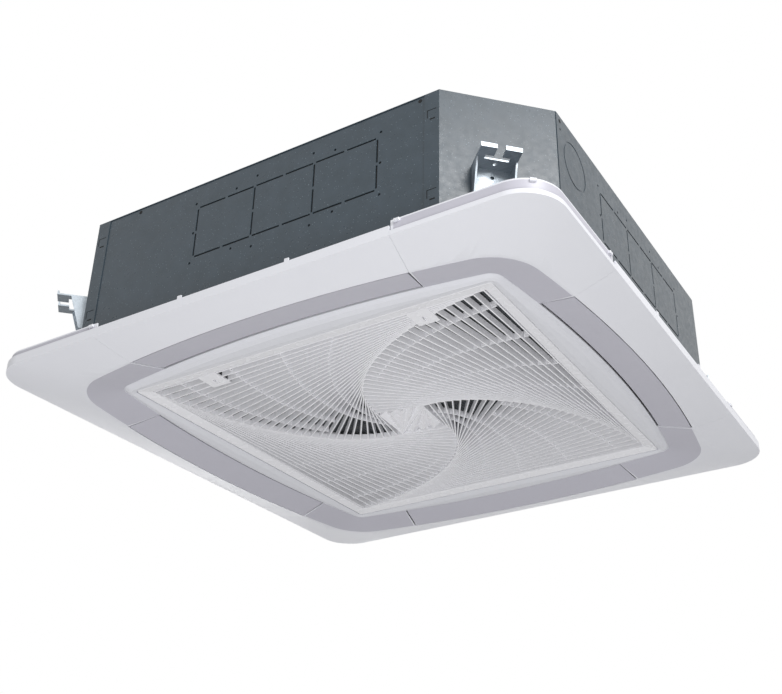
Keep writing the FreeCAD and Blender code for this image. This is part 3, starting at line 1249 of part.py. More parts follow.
def make_grille():
    make_bezel()
    make_swirl_grille()
    make_ribs()
    make_latch("left", "-")
    make_latch("right", "")
    make_filter()


def check_model():
    """Stop where a feature failed, a cut missed its solid or a sub-part isn't sound."""
    cuts = ("PartDesign::Pocket", "PartDesign::SubtractiveLoft", "PartDesign::SubtractivePipe")
    for item in doc.Objects:
        if {"Invalid", "Error"} & set(item.State):
            raise RuntimeError("%s has failed: %s" % (item.Label, item.State))
        if item.TypeId in cuts and item.Shape.Volume > item.BaseFeature.Shape.Volume - 1:
            raise RuntimeError("%s cuts nothing" % item.Label)
    for item in parts:
        if item.Shape.isNull() or not item.Shape.isValid() or not item.Shape.Solids:
            raise RuntimeError("%s is not a sound shape" % item.Label)


def main():
    fill_sheet()
    make_cabinet()
    make_cooling()
    make_fan()
    make_panel()
    make_grille()
    doc.recompute()
    check_model()
    os.makedirs("parts", exist_ok=True)
    for item in parts:
        item.Shape.exportStep("parts/%s.step" % item.Label)


main()
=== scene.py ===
"""Cassette fan coil unit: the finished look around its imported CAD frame.

The unit hangs in a ceiling and is seen from below: a coated steel cabinet with four hanger brackets,
and under it a white panel with four air flaps around a square return grille of swirling slats.
"""

import json
import logging
import math
from dataclasses import dataclass
from enum import Enum
from typing import Iterable, Mapping, Sequence

import bmesh
import bpy
import numpy as np
from mathutils import Matrix, Vector


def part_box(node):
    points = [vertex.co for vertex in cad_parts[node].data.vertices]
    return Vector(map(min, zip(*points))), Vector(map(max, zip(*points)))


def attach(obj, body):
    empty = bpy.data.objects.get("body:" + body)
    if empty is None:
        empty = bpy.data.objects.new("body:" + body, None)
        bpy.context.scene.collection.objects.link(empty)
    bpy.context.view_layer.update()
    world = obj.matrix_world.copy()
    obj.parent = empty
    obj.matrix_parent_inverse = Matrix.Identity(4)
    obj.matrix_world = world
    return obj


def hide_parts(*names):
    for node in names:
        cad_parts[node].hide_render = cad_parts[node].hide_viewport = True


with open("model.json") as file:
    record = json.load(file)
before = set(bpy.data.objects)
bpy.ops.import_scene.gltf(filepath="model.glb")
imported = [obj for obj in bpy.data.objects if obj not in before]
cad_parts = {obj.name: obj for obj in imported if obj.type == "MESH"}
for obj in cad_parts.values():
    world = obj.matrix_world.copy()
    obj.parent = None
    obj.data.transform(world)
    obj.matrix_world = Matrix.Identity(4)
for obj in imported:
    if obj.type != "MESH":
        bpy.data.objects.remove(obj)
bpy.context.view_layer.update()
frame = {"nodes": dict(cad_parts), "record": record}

LOG = logging.getLogger("cassette")
# One millimetre in metres
MM = 0.001
# Radius, in millimetres, at which a turned surface ends on its axis
POLE = 0.05
# Least edge of a block, and the widest as a share of its half width
THIN_EDGE, WIDE_EDGE = 0.001, 0.9
# How far a block's rims are cut back, as a share of the edge
RIM_CUT = 0.7


class Quarter(Enum):
    """A place that comes four times round the unit; its value counts the quarter turns from the first."""

    @property
    def degrees(self) -> float:
        """Turn about the vertical axis from the first such place to this one."""
        return 90.0 * self.value

    @property
    def label(self) -> str:
        """Name of the place as the CAD nodes have it."""
        return self.name.lower()


class Side(Quarter):
    """The four sides of the unit."""

    FRONT = 0
    RIGHT = 1
    BACK = 2
    LEFT = 3


class Corner(Quarter):
    """The four corners of the unit."""

    FRONT_RIGHT = 0
    BACK_RIGHT = 1
    BACK_LEFT = 2
    FRONT_LEFT = 3


# Shader nodes


def linear(colour: str) -> tuple[float, float, float, float]:
    """Turn an sRGB hex colour into the linear colour that a shader takes.

    Args:
        colour: Six hex digits after a hash sign.

    Returns:
        Red, green, blue and an alpha of one.
    """
    parts = (int(colour[start:start + 2], 16) / 255 for start in (1, 3, 5))
    red, green, blue = (p / 12.92 if p <= 0.04045 else ((p + 0.055) / 1.055) ** 2.4 for p in parts)
    return red, green, blue, 1.0


def add(tree: bpy.types.NodeTree, kind: str, inputs: Mapping[object, object] | None = None,
        **settings: object) -> bpy.types.Node:
    """Add one node with its settings, values and links.

    Args:
        tree: Node tree that gets the node.
        kind: Type of the node without its ShaderNode prefix.
        inputs: Value or source socket for each input, by name or number.
        settings: Properties of the node itself.

    Returns:
        The new node.
    """
    node = tree.nodes.new("ShaderNode" + kind)
    for name, setting in settings.items():
        setattr(node, name, setting)
    for name, given in (inputs or {}).items():
        if isinstance(given, bpy.types.NodeSocket):
            tree.links.new(given, node.inputs[name])
        else:
            node.inputs[name].default_value = given
    return node


@dataclass(frozen=True)
class Finish:
    """A material that starts from its real one: base colour, roughness and how its surface was made."""

    name: str
    colour: str
    roughness: float = 0.5
    metallic: float = 0.0
    ior: float = 1.5

    def build(self) -> bpy.types.Material:
        """Make the material once and give it again when asked again.

        Returns:
            The finished material.
        """
        if self.name in bpy.data.materials:
            return bpy.data.materials[self.name]
        material = bpy.data.materials.new(self.name)
        material.use_nodes = True
        tree = material.node_tree
        shader = tree.nodes["Principled BSDF"]
        shader.inputs["Base Color"].default_value = linear(self.colour)
        shader.inputs["Roughness"].default_value = self.roughness
        shader.inputs["Metallic"].default_value = self.metallic
        if not self.metallic:
            shader.inputs["IOR"].default_value = self.ior
        material.diffuse_color = linear(self.colour)
        self.dress(tree, shader)
        return material

    def dress(self, tree: bpy.types.NodeTree, shader: bpy.types.Node) -> None:
        """Add the pattern of the finish; each kind of finish has its own.

        Args:
            tree: Node tree of the material.
            shader: Its surface shader.
        """

    def place(self, tree: bpy.types.NodeTree) -> bpy.types.NodeSocket:
        """Give the place on the object that every pattern here reads."""
        return add(tree, "TexCoord").outputs["Object"]

    def noise(self, tree: bpy.types.NodeTree, grain_mm: float, detail: float = 2.0) -> bpy.types.NodeSocket:
        """Give a cloudy value whose patches are about grain_mm wide."""
        return add(tree, "TexNoise", {"Vector": self.place(tree), "Scale": 1 / (grain_mm * MM),
                                      "Detail": detail}).outputs["Fac"]

    def ramp(self, tree: bpy.types.NodeTree, source: bpy.types.NodeSocket,
             low: float, high: float, out_low: float, out_high: float) -> bpy.types.NodeSocket:
        """Carry a value from one span to another."""
        return add(tree, "MapRange", {"Value": source, "From Min": low, "From Max": high,
                                      "To Min": out_low, "To Max": out_high}).outputs["Result"]

    def mix(self, tree: bpy.types.NodeTree, share: bpy.types.NodeSocket, low: object,
            high: object) -> bpy.types.NodeSocket:
        """Blend two colours by a share."""
        return add(tree, "MixRGB", {"Fac": share, "Color1": low, "Color2": high}).outputs["Color"]

    def tint(self, tree: bpy.types.NodeTree, shader: bpy.types.Node, share: bpy.types.NodeSocket,
             other: str) -> None:
        """Let a share carry the base colour from the finish's own to another."""
        tree.links.new(self.mix(tree, share, linear(self.colour), linear(other)),
                       shader.inputs["Base Color"])

    def cells(self, tree: bpy.types.NodeTree, size_mm: float) -> bpy.types.Node:
        """Split the surface into cells about size_mm wide."""
        return add(tree, "TexVoronoi", {"Vector": self.place(tree), "Scale": 1 / (size_mm * MM)})

    def spread_gloss(self, tree: bpy.types.NodeTree, shader: bpy.types.Node,
                     clouds: bpy.types.NodeSocket, less: float, more: float) -> None:
        """Let clouds move the roughness from a little less than its own value to a little more."""
        gloss = self.ramp(tree, clouds, 0.3, 0.7, self.roughness - less, self.roughness + more)
        tree.links.new(gloss, shader.inputs["Roughness"])

    def bump(self, tree: bpy.types.NodeTree, shader: bpy.types.Node, height: bpy.types.NodeSocket,
             depth_mm: float) -> None:
        """Give the shader a relief of about depth_mm."""
        relief = add(tree, "Bump", {"Height": height, "Distance": depth_mm * MM, "Strength": 1.0})
        tree.links.new(relief.outputs["Normal"], shader.inputs["Normal"])


@dataclass(frozen=True)
class MouldedPlastic(Finish):
    """Injection-moulded plastic: a fine spark-eroded grain, a little uneven in gloss, even in colour."""

    shade: str = "#000000"
    cloud_mm: float = 90.0
    gloss_mm: float = 14.0
    grain_mm: float = 1.2
    relief_mm: float = 0.012

    def dress(self, tree: bpy.types.NodeTree, shader: bpy.types.Node) -> None:
        """Vary colour over a hand's width and gloss over a few millimetres, with a fine grain on top.

        Args:
            tree: Node tree of the material.
            shader: Its surface shader.
        """
        clouds = self.noise(tree, self.cloud_mm, 3.0)
        self.tint(tree, shader, self.ramp(tree, clouds, 0.35, 0.65, 0.0, 0.06), self.shade)
        self.spread_gloss(tree, shader, self.noise(tree, self.gloss_mm), 0.04, 0.05)
        self.bump(tree, shader, self.noise(tree, self.grain_mm, 1.0), self.relief_mm)


@dataclass(frozen=True)
class CoatedSteel(Finish):
    """Pre-coated steel sheet: dark slate polyester with fine pale flecks and a slight orange peel."""

    shade: str = "#303d46"
    fleck: str = "#9fb0bb"
    fleck_mm: float = 5.0
    mottle_mm: float = 26.0
    gloss_mm: float = 9.0
    peel_mm: float = 1.6
    relief_mm: float = 0.02

    def dress(self, tree: bpy.types.NodeTree, shader: bpy.types.Node) -> None:
        """Scatter flecks where a cell's centre is near, over a soft mottle, under a fine orange peel.

        Args:
            tree: Node tree of the material.
            shader: Its surface shader.
        """
        mottle = self.ramp(tree, self.noise(tree, self.mottle_mm, 4.0), 0.3, 0.7, 0.0, 1.0)
        base = self.mix(tree, mottle, linear(self.colour), linear(self.shade))
        cells = self.cells(tree, self.fleck_mm)
        flecks = self.ramp(tree, cells.outputs["Distance"], 0.06, 0.14, 0.55, 0.0)
        colour = self.mix(tree, flecks, base, linear(self.fleck))
        tree.links.new(colour, shader.inputs["Base Color"])
        self.spread_gloss(tree, shader, self.noise(tree, self.gloss_mm), 0.05, 0.06)
        self.bump(tree, shader, self.noise(tree, self.peel_mm, 1.0), self.relief_mm)


@dataclass(frozen=True)
class PlatedSteel(Finish):
    """Zinc-plated or rolled steel: bright metal with long rolling streaks and a soft cloud."""

    dull: str = "#8f969c"
    streak_mm: float = 40.0
    streaks_per_m: float = 900.0
    gloss_mm: float = 11.0
    relief_mm: float = 0.01

    def dress(self, tree: bpy.types.NodeTree, shader: bpy.types.Node) -> None:
        """Stretch a noise along x for the rolling marks and let it move colour and gloss.

        Args:
            tree: Node tree of the material.
            shader: Its surface shader.
        """
        scale = (1 / (self.streak_mm * MM), self.streaks_per_m, self.streaks_per_m)
        stretched = add(tree, "Mapping", {"Vector": self.place(tree), "Scale": scale}).outputs["Vector"]
        streaks = add(tree, "TexNoise", {"Vector": stretched, "Scale": 1.0, "Detail": 2.0}).outputs["Fac"]
        self.tint(tree, shader, self.ramp(tree, streaks, 0.35, 0.7, 0.0, 0.6), self.dull)
        self.spread_gloss(tree, shader, self.noise(tree, self.gloss_mm, 3.0), 0.07, 0.1)
        self.bump(tree, shader, streaks, self.relief_mm)


@dataclass(frozen=True)
class Spangle(Finish):
    """Hot-dip galvanised steel: flat crystals some ten millimetres wide, each with its own shade."""

    crystal_mm: float = 12.0
    pale: str = "#c3c8cc"
    relief_mm: float = 0.02

    def dress(self, tree: bpy.types.NodeTree, shader: bpy.types.Node) -> None:
        """Shade each crystal by its cell's own random value.

        Args:
            tree: Node tree of the material.
            shader: Its surface shader.
        """
        cells = self.cells(tree, self.crystal_mm)
        shade = add(tree, "SeparateColor", {"Color": cells.outputs["Color"]}).outputs["Red"]
        self.tint(tree, shader, shade, self.pale)
        gloss = self.ramp(tree, shade, 0.0, 1.0, self.roughness - 0.08, self.roughness + 0.1)
        tree.links.new(gloss, shader.inputs["Roughness"])
        self.bump(tree, shader, cells.outputs["Distance"], self.relief_mm)


@dataclass(frozen=True)
class Foam(Finish):
    """Foam: moulded beads that show as cells, or an even closed-cell skin where the cells are small."""

    cell_mm: float = 3.0
    relief_mm: float = 0.25
    seam: str = "#9a9a96"

    def dress(self, tree: bpy.types.NodeTree, shader: bpy.types.Node) -> None:
        """Round each cell and darken the joints between cells.

        Args:
            tree: Node tree of the material.
            shader: Its surface shader.
        """
        distance = self.cells(tree, self.cell_mm).outputs["Distance"]
        self.tint(tree, shader, self.ramp(tree, distance, 0.35, 0.75, 0.0, 0.6), self.seam)
        self.bump(tree, shader, self.ramp(tree, distance, 0.0, 0.8, 1.0, 0.0), self.relief_mm)


@dataclass(frozen=True)
class FinStack(Finish):
    """Aluminium fins stacked along the coil: bright edges, with painted shade for the dark air between
    them.
    """

    pitch_mm: float = 2.4
    # Painted shade: colour of the dark gaps between the fins
    painted_gap_shade: str = "#3c4145"
    relief_mm: float = 0.3

    def dress(self, tree: bpy.types.NodeTree, shader: bpy.types.Node) -> None:
        """Draw a stripe per fin along x plus y, so that both directions of the coil are striped; the dark
        part of each stripe is painted shade between the fins.

        Args:
            tree: Node tree of the material.
            shader: Its surface shader.
        """
        place = add(tree, "SeparateXYZ", {"Vector": self.place(tree)})
        along = add(tree, "Math", {0: place.outputs["X"], 1: place.outputs["Y"]}, operation="ADD")
        turns = add(tree, "Math", {0: along.outputs["Value"], 1: 1 / (self.pitch_mm * MM)},
                    operation="MULTIPLY")
        part = add(tree, "Math", {0: turns.outputs["Value"]}, operation="FRACT").outputs["Value"]
        share = self.ramp(tree, part, 0.45, 0.6, 0.0, 1.0)
        # The gaps between the fins take the painted shade colour
        self.tint(tree, shader, share, self.painted_gap_shade)
        self.bump(tree, shader, share, self.relief_mm)


@dataclass(frozen=True)
class DrawnMetal(Finish):
    """Drawn or turned metal such as copper tube: clean colour with a tarnish in soft patches."""

    tarnish: str = "#6b4a38"
    cloud_mm: float = 18.0
    grain_mm: float = 1.5
    relief_mm: float = 0.01

    def dress(self, tree: bpy.types.NodeTree, shader: bpy.types.Node) -> None:
        """Lay the tarnish over the metal in clouds, duller where it is thick.

        Args:
            tree: Node tree of the material.
            shader: Its surface shader.
        """
        clouds = self.noise(tree, self.cloud_mm, 4.0)
        self.tint(tree, shader, self.ramp(tree, clouds, 0.45, 0.75, 0.0, 0.55), self.tarnish)
        tree.links.new(self.ramp(tree, clouds, 0.3, 0.8, self.roughness, self.roughness + 0.25),
                       shader.inputs["Roughness"])
        self.bump(tree, shader, self.noise(tree, self.grain_mm, 1.0), self.relief_mm)


@dataclass(frozen=True)
class WovenNet(Finish):
    """Nylon net: threads both ways, drawn at 2.5 mm because the real 1 mm is too fine to show."""

    pitch_mm: float = 2.5
    # Painted shade: colour of the dark inside seen through the holes
    hole: str = "#15171a"
    relief_mm: float = 0.3

    def dress(self, tree: bpy.types.NodeTree, shader: bpy.types.Node) -> None:
        """Show a thread wherever the place is near a line of the net, along x or along y; between the
        threads the holes are painted dark, as painted shade of the inside behind the net.

        Args:
            tree: Node tree of the material.
            shader: Its surface shader.
        """
        place = add(tree, "SeparateXYZ", {"Vector": self.place(tree)})
        threads = []
        for axis in ("X", "Y"):
            turns = add(tree, "Math", {0: place.outputs[axis], 1: 1 / (self.pitch_mm * MM)},
                        operation="MULTIPLY")
            part = add(tree, "Math", {0: turns.outputs["Value"], 1: 1.0}, operation="PINGPONG")
            threads.append(self.ramp(tree, part.outputs["Value"], 0.3, 0.45, 1.0, 0.0))
        net = add(tree, "Math", {0: threads[0], 1: threads[1]}, operation="MAXIMUM").outputs["Value"]
        # The holes take the painted shade colour, the threads the net's own colour
        tree.links.new(self.mix(tree, net, linear(self.hole), linear(self.colour)),
                       shader.inputs["Base Color"])
        self.bump(tree, shader, net, self.relief_mm)


class Finishes:
    """Every finish of the unit, by the record's material slot that it stands for."""

    SLOTS: dict[str, Finish] = {
        # Pre-coated sheet reads as matt slate with a dusting of bright specks.
        "coated_steel": CoatedSteel("coated_steel_slate", "#38454f", 0.32),
        # Bright zinc passivation keeps a cool, nearly white reflection.
        "zinc_steel": PlatedSteel("zinc_plated_steel", "#b6bec5", 0.46, 1.0),
        # Galvanised sheet shows flat crystals.
        "galvanised_steel": Spangle("galvanised_steel", "#a3a9ae", 0.4, 1.0),
        # Black foam swallows the light inside the cabinet; the same black finish is also the painted shade
        # of the sheets' openings.
        "liner_foam": Foam("black_foam_and_cut_shade", "#131517", 0.95, cell_mm=2.0, relief_mm=0.15,
                           seam="#0c0d0e"),
        # Expanded polystyrene is a white of packed beads.
        "pan_foam": Foam("expanded_polystyrene", "#e6e5e0", 0.8, cell_mm=4.0),
        # Fin edges glint over dark air; the dark between the fins is painted shade.
        "coil_fins": FinStack("aluminium_fins", "#c6cacd", 0.35, 0.9),
        # Copper tube dulls to brown.
        "copper": DrawnMetal("drawn_copper", "#c98a6b", 0.25, 1.0),
        # Brass unions are turned and stay yellow.
        "brass": DrawnMetal("turned_brass", "#cdb27a", 0.25, 1.0, tarnish="#8a7442"),
        # Drain pipe is plain grey-white PVC.
        "pipe_plastic": MouldedPlastic("pvc_pipe", "#dadbdc", 0.35, shade="#b9babb"),
        # Black polypropylene for what stays inside.
        "dark_plastic": MouldedPlastic("black_polypropylene", "#2b2d30", 0.45, shade="#1d1f21"),
        # Glass-filled wheel: dark and dull.
        "wheel_plastic": MouldedPlastic("glass_filled_plastic", "#40444a", 0.5, shade="#33363b"),
        # Black enamel on the motor.
        "motor_paint": MouldedPlastic("motor_enamel", "#303236", 0.3, shade="#232529"),
        # Rubber feet have no gloss.
        "rubber": MouldedPlastic("rubber", "#1b1c1d", 0.75, shade="#2a2b2c"),
        # Turned steel of shaft and nut.
        "steel": PlatedSteel("turned_steel", "#c0c4c8", 0.25, 1.0),
        # The panel's ABS is a cool white with a fine satin grain.
        "panel_white": MouldedPlastic("white_abs", "#e9eaf0", 0.36, shade="#d5d6de"),
        # Flaps and channel are drawn in a greyer colour than the panel.
        "flap_grey": MouldedPlastic("grey_abs_flap", "#c3c2cc", 0.38, shade="#b0afba"),
        # The bezel is a little greyer than the panel.
        "bezel_grey": MouldedPlastic("pale_abs_bezel", "#e2e3e9", 0.33, shade="#cfd0d7"),
        # Slats are the same pale ABS, in a colour set lighter than the panel's: painted light that stands
        # for the light on their thin edges.
        "grille_grey": MouldedPlastic("pale_abs_slats", "#f0f0f4", 0.25, shade="#eaebf0"),
        # Black nylon net is matt; its holes are painted dark, as painted shade of the inside behind it.
        "filter_mesh": WovenNet("nylon_net", "#4a4e53", 0.7),
        # Closed-cell foam shows a fine, even, dull skin.
        "seal_foam": Foam("closed_cell_foam", "#26282a", 0.85, cell_mm=1.5, relief_mm=0.1, seam="#1a1b1d"),
    }

    @classmethod
    def material(cls, slot: str) -> bpy.types.Material:
        """Give the material of one of the record's slots."""
        return cls.SLOTS[slot].build()


# Meshes


@dataclass
class Shape:
    """Points and faces of a surface in millimetres, in the frame's own axes."""

    points: np.ndarray
    faces: np.ndarray

    @staticmethod
    def grid(points: np.ndarray, wrap_u: bool = False, wrap_v: bool = False) -> "Shape":
        """Join a grid of points into four-sided faces.

        Args:
            points: Array of shape (u, v, 3).
            wrap_u: Whether the last row joins the first.
            wrap_v: Whether the last column joins the first.

        Returns:
            The surface, one face for each cell of the grid.
        """
        rows, columns = points.shape[:2]
        u = np.arange(rows if wrap_u else rows - 1)
        v = np.arange(columns if wrap_v else columns - 1)
        u, v = np.meshgrid(u, v, indexing="ij")
        next_u, next_v = (u + 1) % rows, (v + 1) % columns
        corners = [u * columns + v, next_u * columns + v, next_u * columns + next_v, u * columns + next_v]
        return Shape(points.reshape(-1, 3), np.stack([c.ravel() for c in corners], axis=1))

    @staticmethod
    def join(shapes: Iterable["Shape"]) -> "Shape":
        """Put several surfaces into one.

        Args:
            shapes: The surfaces, in the order that their points are to have.

        Returns:
            One surface with all their points and faces.
        """
        shapes = list(shapes)
        starts = np.cumsum([0] + [len(shape.points) for shape in shapes[:-1]])
        return Shape(np.concatenate([shape.points for shape in shapes]),
                     np.concatenate([shape.faces + start for shape, start in zip(shapes, starts)]))

    @staticmethod
    def tube(points: np.ndarray) -> "Shape":
        """Close a four-cornered profile carried along an open path, with a cap at each end.

        Args:
            points: Array of shape (4, path, 3).

        Returns:
            The closed surface.
        """
        wall = Shape.grid(points, wrap_u=True)
        count = points.shape[1]
        first = np.arange(4) * count
        caps = np.stack([first, (first + count - 1)[::-1]])
        return Shape(wall.points, np.concatenate([wall.faces, caps]))

    @staticmethod
    def lathe(points: np.ndarray) -> "Shape":
        """Close a row of rings with a flat cap on the first and on the last.

        Args:
            points: Array of shape (rings, points of a ring, 3), with an even number of points.

        Returns:
            The closed surface.
        """
        wall = Shape.grid(points, wrap_v=True)
        rings, sides = points.shape[:2]
        odd = np.arange(1, sides - 2, 2)
        cap = np.stack([np.zeros_like(odd), odd, odd + 1, odd + 2], axis=1)
        far_cap = cap[:, ::-1] + (rings - 1) * sides
        return Shape(wall.points, np.concatenate([wall.faces, cap, far_cap]))

    @staticmethod
    def block(low: Sequence[float], high: Sequence[float], edge: float = 0.0) -> "Shape":
        """Give a box whose four upright edges and two rims are cut back by an edge.

        The plan is an octagon; its rings shrink by the edge at the lowest and the highest level.

        Args:
            low: Lowest corner.
            high: Highest corner.
            edge: Width of the cut at the edges.

        Returns:
            The closed surface.
        """
        low, high = np.array(low, float), np.array(high, float)
        middle, half = (low + high) / 2, (high - low) / 2
        corner = min(edge, half[0] * WIDE_EDGE, half[1] * WIDE_EDGE) or THIN_EDGE
        signs = np.array([(1, -1, 0), (1, 1, 0), (1, 1, 1), (-1, 1, 1),
                          (-1, 1, 0), (-1, -1, 0), (-1, -1, 1), (1, -1, 1)])
        cut = np.where(signs[:, 2:] == 0, np.array([[0.0, corner]]), np.array([[corner, 0.0]]))
        steps = ((low[2], corner), (low[2] + corner, 0.0), (high[2] - corner, 0.0), (high[2], corner))
        rows = []
        for level, inset in steps:
            flat = middle[:2] + signs[:, :2] * (half[:2] - cut - inset * RIM_CUT)
            rows.append(np.column_stack([flat, np.full(len(signs), level)]))
        walls = Shape.grid(np.stack(rows)[::-1], wrap_v=True)
        cap = np.array([(0, 1, 2, 3), (0, 3, 4, 7), (4, 5, 6, 7)])
        far_cap = cap[:, ::-1] + (len(rows) - 1) * len(signs)
        return Shape(walls.points, np.concatenate([walls.faces, cap, far_cap]))

    @staticmethod
    def plate_with_hole(low: Sequence[float], high: Sequence[float], hole_low: Sequence[float],
                        hole_high: Sequence[float]) -> "Shape":
        """Give a flat plate with one rectangular hole; four rings of four corners close on each other.

        Args:
            low: Lowest corner of the plate.
            high: Highest corner of the plate.
            hole_low: First corner of the hole, seen from above.
            hole_high: Corner of the hole across from it.

        Returns:
            The closed surface.
        """
        def ring(first: Sequence[float], last: Sequence[float], level: float) -> np.ndarray:
            """Give the four corners of a rectangle at a level."""
            return np.array([(first[0], first[1], level), (last[0], first[1], level),
                             (last[0], last[1], level), (first[0], last[1], level)])
        rows = [ring(low, high, low[2]), ring(low, high, high[2]), ring(hole_low, hole_high, high[2]),
                ring(hole_low, hole_high, low[2])]
        return Shape.grid(np.stack(rows), wrap_u=True, wrap_v=True)

    @staticmethod
    def rounded_square(half: float, corner: float, level: float, steps: int = 8) -> np.ndarray:
        """Give a ring of points on a square with round corners.

        Each corner is an arc about (half - corner, half - corner), turned by quarter turns.

        Args:
            half: Half width of the square.
            corner: Radius of its corners.
            level: Height of the ring.
            steps: Number of chords in each arc.

        Returns:
            Array of shape (points, 3).
        """
        angles = np.linspace(0, math.pi / 2, steps + 1)
        arc = (half - corner) + corner * np.stack([np.cos(angles), np.sin(angles)], axis=1)
        quarters = [arc @ np.linalg.matrix_power(np.array([[0, 1], [-1, 0]]), turn) for turn in range(4)]
        flat = np.concatenate(quarters)
        return np.column_stack([flat, np.full(len(flat), level)])

    def moved(self, x: float = 0.0, y: float = 0.0, z: float = 0.0) -> "Shape":
        """Give the surface moved by a distance in millimetres."""
        return Shape(self.points + np.array([x, y, z]), self.faces)

    def turned(self, degrees: float) -> "Shape":
        """Give the surface turned about the vertical axis.

        Args:
            degrees: Angle, positive against the clock seen from above.

        Returns:
            The turned surface.
        """
        angle = math.radians(degrees)
        turn = np.array([[math.cos(angle), math.sin(angle), 0], [-math.sin(angle), math.cos(angle), 0],
                         [0, 0, 1]])
        return Shape(self.points @ turn, self.faces)


def mount_mesh(name: str, mesh: bpy.types.Mesh, slot: str, body: str,
               replaces: Sequence[str] = ()) -> bpy.types.Object:
    """Give a mesh its finish and make it a piece that rides on a body.

    Args:
        name: Name of the piece.
        mesh: Its finished mesh, in the frame's metres.
        slot: Material slot of the record that gives its finish.
        body: CAD body that it rides.
        replaces: CAD nodes that it stands for.

    Returns:
        The object, at the origin, with its place in its mesh.
    """
    mesh.materials.clear()
    mesh.materials.append(Finishes.material(slot))
    piece = bpy.data.objects.new(name, mesh)
    bpy.context.scene.collection.objects.link(piece)
    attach(piece, body)
    if replaces:
        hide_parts(*replaces)
    return piece


def put_piece(name: str, shape: Shape, slot: str, body: str, replaces: Sequence[str] = (),
              crease_degrees: float = 35.0) -> bpy.types.Object:
    """Make a finished piece of the unit from a surface, with its faces turned outwards.

    Args:
        name: Name of the piece.
        shape: Its surface, in millimetres.
        slot: Material slot of the record that gives its finish.
        body: CAD body that it rides.
        replaces: CAD nodes that it stands for.
        crease_degrees: Edges that turn more than this stay sharp.

    Returns:
        The object, at the origin, with its place in its mesh.
    """
    mesh = bpy.data.meshes.new(name)
    mesh.from_pydata((shape.points * MM).tolist(), [], shape.faces.tolist())
    mesh.validate()
    work = bmesh.new()
    work.from_mesh(mesh)
    bmesh.ops.recalc_face_normals(work, faces=work.faces)
    work.to_mesh(mesh)
    work.free()
    mesh.shade_smooth()
    mesh.set_sharp_from_angle(angle=math.radians(crease_degrees))
    LOG.info("%s: %d faces on %s", name, len(shape.faces), body)
    return mount_mesh(name, mesh, slot, body, replaces)


def copy_node(name: str, node: str, slot: str, body: str) -> bpy.types.Object:
    """Make a piece that starts as a copy of a CAD node and stands for it.

    Args:
        name: Name of the piece.
        node: CAD node whose mesh is copied, with its loose triangles joined.
        slot: Material slot of the record that gives its finish.
        body: CAD body that it rides.

    Returns:
        The new object.
    """
    source = frame["nodes"][node]
    mesh = source.data.copy()
    mesh.transform(source.matrix_world)
    work = bmesh.new()
    work.from_mesh(mesh)
    bmesh.ops.remove_doubles(work, verts=work.verts, dist=1e-6)
    work.to_mesh(mesh)
    work.free()
    LOG.info("%s: copy of %s on %s", name, node, body)
    return mount_mesh(name, mesh, slot, body, [node])


def cut_out(piece: bpy.types.Object, rooms: Sequence[Shape], crease_degrees: float = 30.0,
            crossing: bool = False) -> None:
    """Take the room of other parts out of a piece, and keep the result as its mesh.

    Args:
        piece: The piece that makes room.
        rooms: Closed surfaces in millimetres.
        crease_degrees: Edges that turn more than this stay sharp.
        crossing: Whether the piece's own surfaces pass through each other.
    """
    mesh = bpy.data.meshes.new("room")
    room = Shape.join(rooms)
    mesh.from_pydata((room.points * MM).tolist(), [], room.faces.tolist())
    tool = bpy.data.objects.new("room", mesh)
    bpy.context.scene.collection.objects.link(tool)
    change = piece.modifiers.new("room", "BOOLEAN")
    change.operation, change.solver, change.object = "DIFFERENCE", "EXACT", tool
    change.use_self = crossing
    bpy.context.view_layer.update()
    carved = bpy.data.meshes.new_from_object(piece.evaluated_get(bpy.context.evaluated_depsgraph_get()))
    carved.shade_smooth()
    carved.set_sharp_from_angle(angle=math.radians(crease_degrees))
    piece.modifiers.clear()
    piece.data = carved
    bpy.data.objects.remove(tool)


# Sub-assemblies


class CadNodes:
    """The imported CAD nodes, dressed in the finish of their material slot."""

    def dress(self) -> None:
        """Give every node the material of the slot that the record names for it."""
        slots = {part["node"]: part["material_slot"] for part in frame["record"]["subparts"]}
        for name, node in frame["nodes"].items():
            slot = slots[name]
            node.data.materials.clear()
            node.data.materials.append(Finishes.material(slot))
        LOG.info("dressed %d nodes", len(frame["nodes"]))


